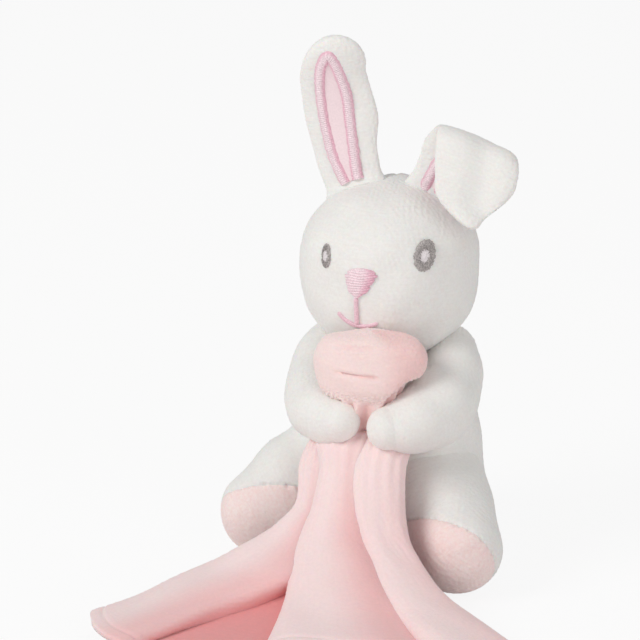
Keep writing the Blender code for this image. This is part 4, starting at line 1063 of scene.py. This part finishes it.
def blanket_grid(blanket):
    """The blanket's middle sheet: rows down the fall, columns across three round folds and their valleys.

    A row's points lie at one share of the fall line. A fold is an arch between two headings, as wide as
    -cos(t) (1 + 0.9 sin(t)^2), so that its sides hang over, and as high as its width allows, up to the fold
    height. Also given: the running length, each point's share of the painted shade and the share down the fall.
    """
    line = curve_through(np.array(FALL_SHARES) * (blanket.reach, GRIP[2]), 400)
    run = running_length(line)
    ahead = unit(np.gradient(line, axis=0))
    total = 3 * FOLD_COLUMNS + 2 * VALLEY_COLUMNS
    across = np.linspace(0.0, 1.0, total)[None, :]
    down = np.linspace(0.0, 1.0, 200)[:, None]
    distance = down * blanket_length(across, blanket)
    reach = np.interp(distance, run, line[:, 0]) + np.maximum(distance - run[-1], 0.0)
    height = np.interp(distance, run, line[:, 1])
    slope = unit(np.stack([np.interp(distance, run, ahead[:, k]) for k in (0, 1)], axis=-1))

    def edge(fold, name, columns):
        return curve_values(FOLD_STATIONS, FOLDS[fold][name], reach[:, columns] / blanket.reach)

    heading, lift, painted_shade = np.zeros_like(reach), np.zeros_like(reach), np.ones_like(reach)
    turn = math.pi * np.linspace(0.0, 1.0, FOLD_COLUMNS)[None, :]
    valley = np.linspace(0.0, 1.0, VALLEY_COLUMNS + 2)[None, 1:-1]
    for fold, shape in enumerate(FOLDS):
        start = fold * (FOLD_COLUMNS + VALLEY_COLUMNS)
        here = slice(start, start + FOLD_COLUMNS)
        left, right = edge(fold, "left", here), edge(fold, "right", here)
        lateral = -np.cos(turn) * (1 + ARCH_OVERHANG * np.sin(turn) ** 2) + shape["over"] * np.sin(turn) ** 2
        heading[:, here] = (left + right) / 2 + (right - left) / 2 * lateral
        wide = np.radians(right - left) * reach[:, here]
        tall = blanket.fold_height * shape["height"]
        lift[:, here] = tall * np.tanh(ARCH_STEEPNESS * wide / tall) * np.sin(turn)
        # painted shade: the side of the fold turned away from the light is drawn towards the deep tone, and more
        # so down the fall; the fold's feet and the valleys between folds get the full painted shade
        away_shade = 0.55 * smooth_step(turn, 1.4, 2.1) + 0.45 * smooth_step(turn, 2.3, 3.05)
        away_shade = shape["away_shade"] * away_shade * (0.35 + 0.65 * smooth_step(down, 0.08, 0.45))
        painted_shade[:, here] = np.maximum((1 - np.sin(turn)) ** 3, away_shade)
        if fold < 2:
            gap = slice(start + FOLD_COLUMNS, start + FOLD_COLUMNS + VALLEY_COLUMNS)
            left, right = edge(fold, "right", gap), edge(fold + 1, "left", gap)
            heading[:, gap] = left + (right - left) * valley
    lift = lift * even_values(FADE_SHARES, down)
    heading = np.radians(heading + 0.8 * np.sin(5.0 * down + 3.0 * across))
    reach = reach - slope[..., 1] * lift
    height = height + slope[..., 0] * lift
    x, y = GRIP[0] + reach * np.sin(heading), GRIP[1] + APEX_BACK - reach * np.cos(heading)
    return np.stack([x, y, height], axis=-1), distance, painted_shade, down


def make_blanket(blanket, finish):
    """The falling part of the blanket: two layers over the fold grid, gathers at the grip and a sewn hem."""
    grid, distance, painted_shade, down = blanket_grid(blanket)
    normals = grid_normals(grid, wrap=False)
    normals = normals * np.sign(normals[..., 2].mean())
    hem = furrow(distance.max(axis=0) - distance - HEM_IN, HEM_WIDTH)
    across = np.linspace(0.0, 1.0, grid.shape[1])[None, :]
    waves = np.cos(66 * math.pi * across + 2.0 * np.sin(9 * across))
    gathers = GATHER_RISE * np.exp(-distance / GATHER_LENGTH) * waves
    lie = np.stack(np.broadcast_arrays(0.16 * across, 0.35 * distance, 0.0), axis=-1)
    creases = RUMPLE_RISE * wave_noise(lie, RUMPLE_SIZE, 71) * smooth_step(distance, 8 * MM, 40 * MM)
    tufts = finish.tuft_rise * 0.7 * wave_noise(grid, finish.tuft_size, 72)
    bunch = np.maximum(1 - down / BUNCH_SHARE, 0.0) ** 2
    half = (blanket.thickness + (BUNCH_THICKNESS - blanket.thickness) * bunch) / 2
    top = grid + normals * (half + creases + tufts + gathers - 0.5 * MM * hem)[..., None]
    bottom = grid - normals * (half + 0 * distance)[..., None]
    top[..., 2] = np.clip(top[..., 2], CLOTH_FLOOR + blanket.thickness * 0.8, GRIP[2] + CLOTH_RISE)
    bottom[..., 2] = np.clip(bottom[..., 2], CLOTH_FLOOR, GRIP[2] + CLOTH_RISE)
    piece = layered_piece("blanket_fall", top, bottom, blanket_velour(finish))
    set_painted_shade(piece, painted_shade, layers=2)
    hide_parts("blanket_drape", "blanket_front")
    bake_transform(piece)
    return piece


PUFF_SHARES = ((0.0, 0.46, 0.80), (0.2, 0.53, 0.82), (0.35, 0.60, 0.84), (0.41, 0.80, 0.90), (0.48, 0.93, 0.95),
               (0.61, 1.0, 1.0), (0.76, 0.98, 0.98), (0.90, 0.82, 0.86), (0.975, 0.50, 0.56), (1.0, 0.05, 0.05))
PUFF_SIZE = np.array((20.7, 10.0, 39.5)) * MM
PUFF_SHIFT = np.array((3.0, -6.5, 0.0)) * MM
UNDERSIDE, UNDERSIDE_SLANT = 0.40, 0.20
UPPER_DEPTH, LOWER_DEPTH, PLEAT_RISE, FUZZ_RISE = 0.7 * MM, 1.2 * MM, 1.0 * MM, 0.25 * MM


def make_gather(finish):
    """The gathered top: pleats rise from the grip and swell into a soft puff that hangs over them."""
    around = full_turn(300)
    table = curve_through(PUFF_SHARES, 240)
    level = np.linspace(0.0, 1.0, 240)
    rows = np.linspace(0.0, 1.0, 170)[:, None]
    whole, wide, deep = (np.interp(rows, level, table[:, k]) for k in (0, 1, 2))
    under = UNDERSIDE + UNDERSIDE_SLANT * smooth_step(np.cos(around), 0.40, 1.0)
    height = np.where(whole < UNDERSIDE, whole * under / UNDERSIDE,
                      under + (whole - UNDERSIDE) * (1 - under) / (1 - UNDERSIDE))
    swell = np.minimum(height / 0.5, 1.0) ** 1.5
    x = PUFF_SIZE[0] * wide * np.cos(around)
    y = PUFF_SIZE[1] * deep * np.sin(around)
    grid = np.stack(np.broadcast_arrays(GRIP[0] + PUFF_SHIFT[0] * swell + x,
                                        GRIP[1] + PUFF_SHIFT[1] * swell ** 0.4 + y,
                                        GRIP[2] + 0.3 * MM + PUFF_SIZE[2] * height + 0 * x), axis=-1)
    front = smooth_step(-np.sin(around), -0.1, 0.5)
    part = np.cos(around)
    upper = furrow(height - 0.90 - 0.02 * part, 0.022) * front
    upper = upper * smooth_step(0.62 - np.abs(part + 0.15), 0.0, 0.35)
    lower = furrow(height - 0.645 + 0.03 * part, 0.016) * front
    lower = lower * smooth_step(0.46 - np.abs(part + 0.1), 0.0, 0.22)
    neck = 1 - smooth_step(whole, 0.30, 0.42)
    pleats = np.cos(12 * around + 1.5 * np.sin(3 * around)) * neck
    fuzz = wave_noise(grid, 1.0 * MM, 83) * furrow(whole - 0.42, 0.06)
    rise = PLEAT_RISE * pleats + FUZZ_RISE * fuzz - UPPER_DEPTH * upper - LOWER_DEPTH * lower
    grid = plushed(raised(grid, rise), finish, 81, lumps=1.6)
    piece = round_piece("blanket_gathers", grid, gathered_velour(finish))
    # painted shade: darker in the gathered neck, in the pleats' hollows and in the two creases, and on the puff's
    # right side, turned from the light
    shade = 0.38 * smooth_step(part, 0.20, 0.80) * smooth_step(whole, 0.4, 0.5)
    painted_shade = np.clip(0.30 * neck - 0.20 * pleats * neck + 0.45 * lower + 0.12 * upper + shade, 0.0, 1.0)
    set_painted_shade(piece, np.concatenate([painted_shade.ravel(), (1.0, 0.0)]))
    return finished(piece, "body", "blanket_cloth", "blanket_gather")


# Stage

CAMERA_DISTANCE = 1.5
FRAME_WIDTH = 0.237
AZIMUTH, ELEVATION = 18.0, 18.0
AIM_RIGHT, AIM_UP = -25.9 * MM, 83.0 * MM
FLOOR_HALF, FLOOR_GLOW = 8.0, 0.88
WORLD_STRENGTH = 0.47
LAMP_AIM = Vector((0.0, 0.0, 0.08))


def aimed(name, data, place, way):
    """A camera or lamp at a place, turned to look along a way."""
    obj = bpy.data.objects.new(name, data)
    obj.location = place
    obj.rotation_mode = "QUATERNION"
    obj.rotation_quaternion = way.to_track_quat("-Z", "Y")
    bpy.context.scene.collection.objects.link(obj)
    return obj


def make_camera():
    """A camera at the photograph's angle, aimed at a point given along the view's own right and up."""
    turn, tilt = math.radians(AZIMUTH), math.radians(ELEVATION)
    right = Vector((math.cos(turn), math.sin(turn), 0.0))
    back = Vector((math.sin(turn) * math.cos(tilt), -math.cos(turn) * math.cos(tilt), math.sin(tilt)))
    up = back.cross(right)
    data = bpy.data.cameras.new("view")
    data.lens = data.sensor_width * CAMERA_DISTANCE / FRAME_WIDTH
    data.clip_start, data.clip_end = 0.01, 50.0
    place = right * AIM_RIGHT + up * AIM_UP + back * CAMERA_DISTANCE
    bpy.context.scene.camera = aimed("view", data, place, -back)


def make_lamp(name, place, size, power, tone):
    data = bpy.data.lights.new(name, "AREA")
    data.shape = "DISK"
    data.size, data.energy, data.color = size, power, tone
    aimed(name, data, place, LAMP_AIM - Vector(place))


def make_floor():
    """A wide pale floor that shows almost white to the camera and keeps a soft shadow."""
    corners = FLOOR_HALF * np.array([(-1, -1, 0), (1, -1, 0), (1, 1, 0), (-1, 1, 0)])
    material = bpy.data.materials.new("studio floor")
    material.use_nodes = True
    tree = material.node_tree
    shader = tree.nodes["Principled BSDF"]
    set_inputs(shader, {"Base Color": (0.9, 0.9, 0.9, 1.0), "Roughness": 1.0, "Specular IOR Level": 0.0})
    glow = add_node(tree, "Emission", {"Strength": 1.0})
    seen = add_node(tree, "LightPath")
    share = add_node(tree, "Math", {1: FLOOR_GLOW}, {0: seen.outputs["Is Camera Ray"]}, operation="MULTIPLY")
    mix = add_node(tree, "MixShader", links={0: share.outputs["Value"], 1: shader.outputs["BSDF"],
                                             2: glow.outputs["Emission"]})
    tree.links.new(mix.outputs["Shader"], tree.nodes["Material Output"].inputs["Surface"])
    mesh_object("studio_floor", corners, [np.array([(0, 1, 2, 3)])], material)


def make_world():
    world = bpy.context.scene.world or bpy.data.worlds.new("studio")
    bpy.context.scene.world = world
    world.use_nodes = True
    set_inputs(world.node_tree.nodes["Background"], {"Color": (1.0, 1.0, 1.0, 1.0), "Strength": WORLD_STRENGTH})


# Operators

class BUNNY_OT_head(bpy.types.Operator):
    """Make the head's plush ball"""
    bl_idname = "bunny.head"
    bl_label = "Head"

    def execute(self, context):
        make_head(context.scene.bunny_form, context.scene.bunny_finish)
        return {"FINISHED"}


class BUNNY_OT_torso(bpy.types.Operator):
    """Make the torso and its tail"""
    bl_idname = "bunny.torso"
    bl_label = "Torso and tail"

    def execute(self, context):
        make_torso(context.scene.bunny_form, context.scene.bunny_finish)
        make_tail(context.scene.bunny_form, context.scene.bunny_finish)
        return {"FINISHED"}


class BUNNY_OT_arms(bpy.types.Operator):
    """Make both arms"""
    bl_idname = "bunny.arms"
    bl_label = "Arms"

    def execute(self, context):
        make_arm("left", 31, context.scene.bunny_form, context.scene.bunny_finish)
        make_arm("right", 35, context.scene.bunny_form, context.scene.bunny_finish)
        return {"FINISHED"}


class BUNNY_OT_legs(bpy.types.Operator):
    """Make both legs with their pink feet"""
    bl_idname = "bunny.legs"
    bl_label = "Legs"

    def execute(self, context):
        form, finish = context.scene.bunny_form, context.scene.bunny_finish
        make_leg("left", 41, form, finish)
        make_leg("right", 45, form, finish)
        return {"FINISHED"}


class BUNNY_OT_ears(bpy.types.Operator):
    """Make both ears with their linings and stitched borders"""
    bl_idname = "bunny.ears"
    bl_label = "Ears"

    def execute(self, context):
        ears, finish = context.scene.bunny_ears, context.scene.bunny_finish
        for side, seed in (("right", 51), ("left", 55)):
            make_ear(side, seed, context.scene.bunny_form, ears, finish)
            make_lining(side, ears, finish)
        return {"FINISHED"}


class BUNNY_OT_face(bpy.types.Operator):
    """Make the stitched eyes, nose and mouth"""
    bl_idname = "bunny.face"
    bl_label = "Face"

    def execute(self, context):
        form, finish = context.scene.bunny_form, context.scene.bunny_finish
        make_eye("left", form, finish)
        make_eye("right", form, finish)
        make_nose(form, finish)
        make_mouth(form, finish)
        return {"FINISHED"}


class BUNNY_OT_blanket(bpy.types.Operator):
    """Make the blanket's gathered top and its falling folds"""
    bl_idname = "bunny.blanket"
    bl_label = "Blanket"

    def execute(self, context):
        blanket, finish = context.scene.bunny_blanket, context.scene.bunny_finish
        gather = make_gather(finish)
        fall = make_blanket(blanket, finish)
        return {"FINISHED"}


class BUNNY_OT_stage(bpy.types.Operator):
    """Make the floor, lamps, world and camera"""
    bl_idname = "bunny.stage"
    bl_label = "Stage"

    def execute(self, context):
        make_floor()
        make_world()
        make_lamp("key", (-0.9, -1.1, 1.1), 0.9, 12.7, (1.0, 0.995, 0.975))
        make_lamp("fill", (1.3, -0.9, 0.5), 1.2, 5.2, (1.0, 0.96, 0.95))
        make_camera()
        context.scene.view_settings.view_transform = "Standard"
        return {"FINISHED"}


class BUNNY_PT_panel(bpy.types.Panel):
    """Lists the bunny's makers and sizes"""
    bl_idname = "BUNNY_PT_panel"
    bl_label = "Bunny"
    bl_space_type = "VIEW_3D"
    bl_region_type = "UI"
    bl_category = "Bunny"

    def draw(self, context):
        for operator in OPERATORS:
            self.layout.operator(operator.bl_idname)
        for name in GROUPS:
            group = getattr(context.scene, name)
            box = self.layout.box()
            for prop in group.bl_rna.properties:
                if prop.identifier not in ("rna_type", "name"):
                    box.prop(group, prop.identifier)


OPERATORS = (BUNNY_OT_stage, BUNNY_OT_torso, BUNNY_OT_head, BUNNY_OT_ears, BUNNY_OT_face, BUNNY_OT_arms,
             BUNNY_OT_legs, BUNNY_OT_blanket)
GROUPS = {"bunny_finish": BunnyFinish, "bunny_form": BunnyForm, "bunny_ears": BunnyEars,
          "bunny_blanket": BunnyBlanket}
CLASSES = (*GROUPS.values(), *OPERATORS, BUNNY_PT_panel)


def register():
    for made in CLASSES:
        bpy.utils.register_class(made)
    for name, group in GROUPS.items():
        setattr(bpy.types.Scene, name, bpy.props.PointerProperty(type=group))


def unregister():
    for name in GROUPS:
        delattr(bpy.types.Scene, name)
    for made in reversed(CLASSES):
        bpy.utils.unregister_class(made)


def main():
    register()
    for name in ("stage", "torso", "head", "ears", "face", "arms", "legs", "blanket"):
        getattr(bpy.ops.bunny, name)()


if __name__ == "__main__":
    main()
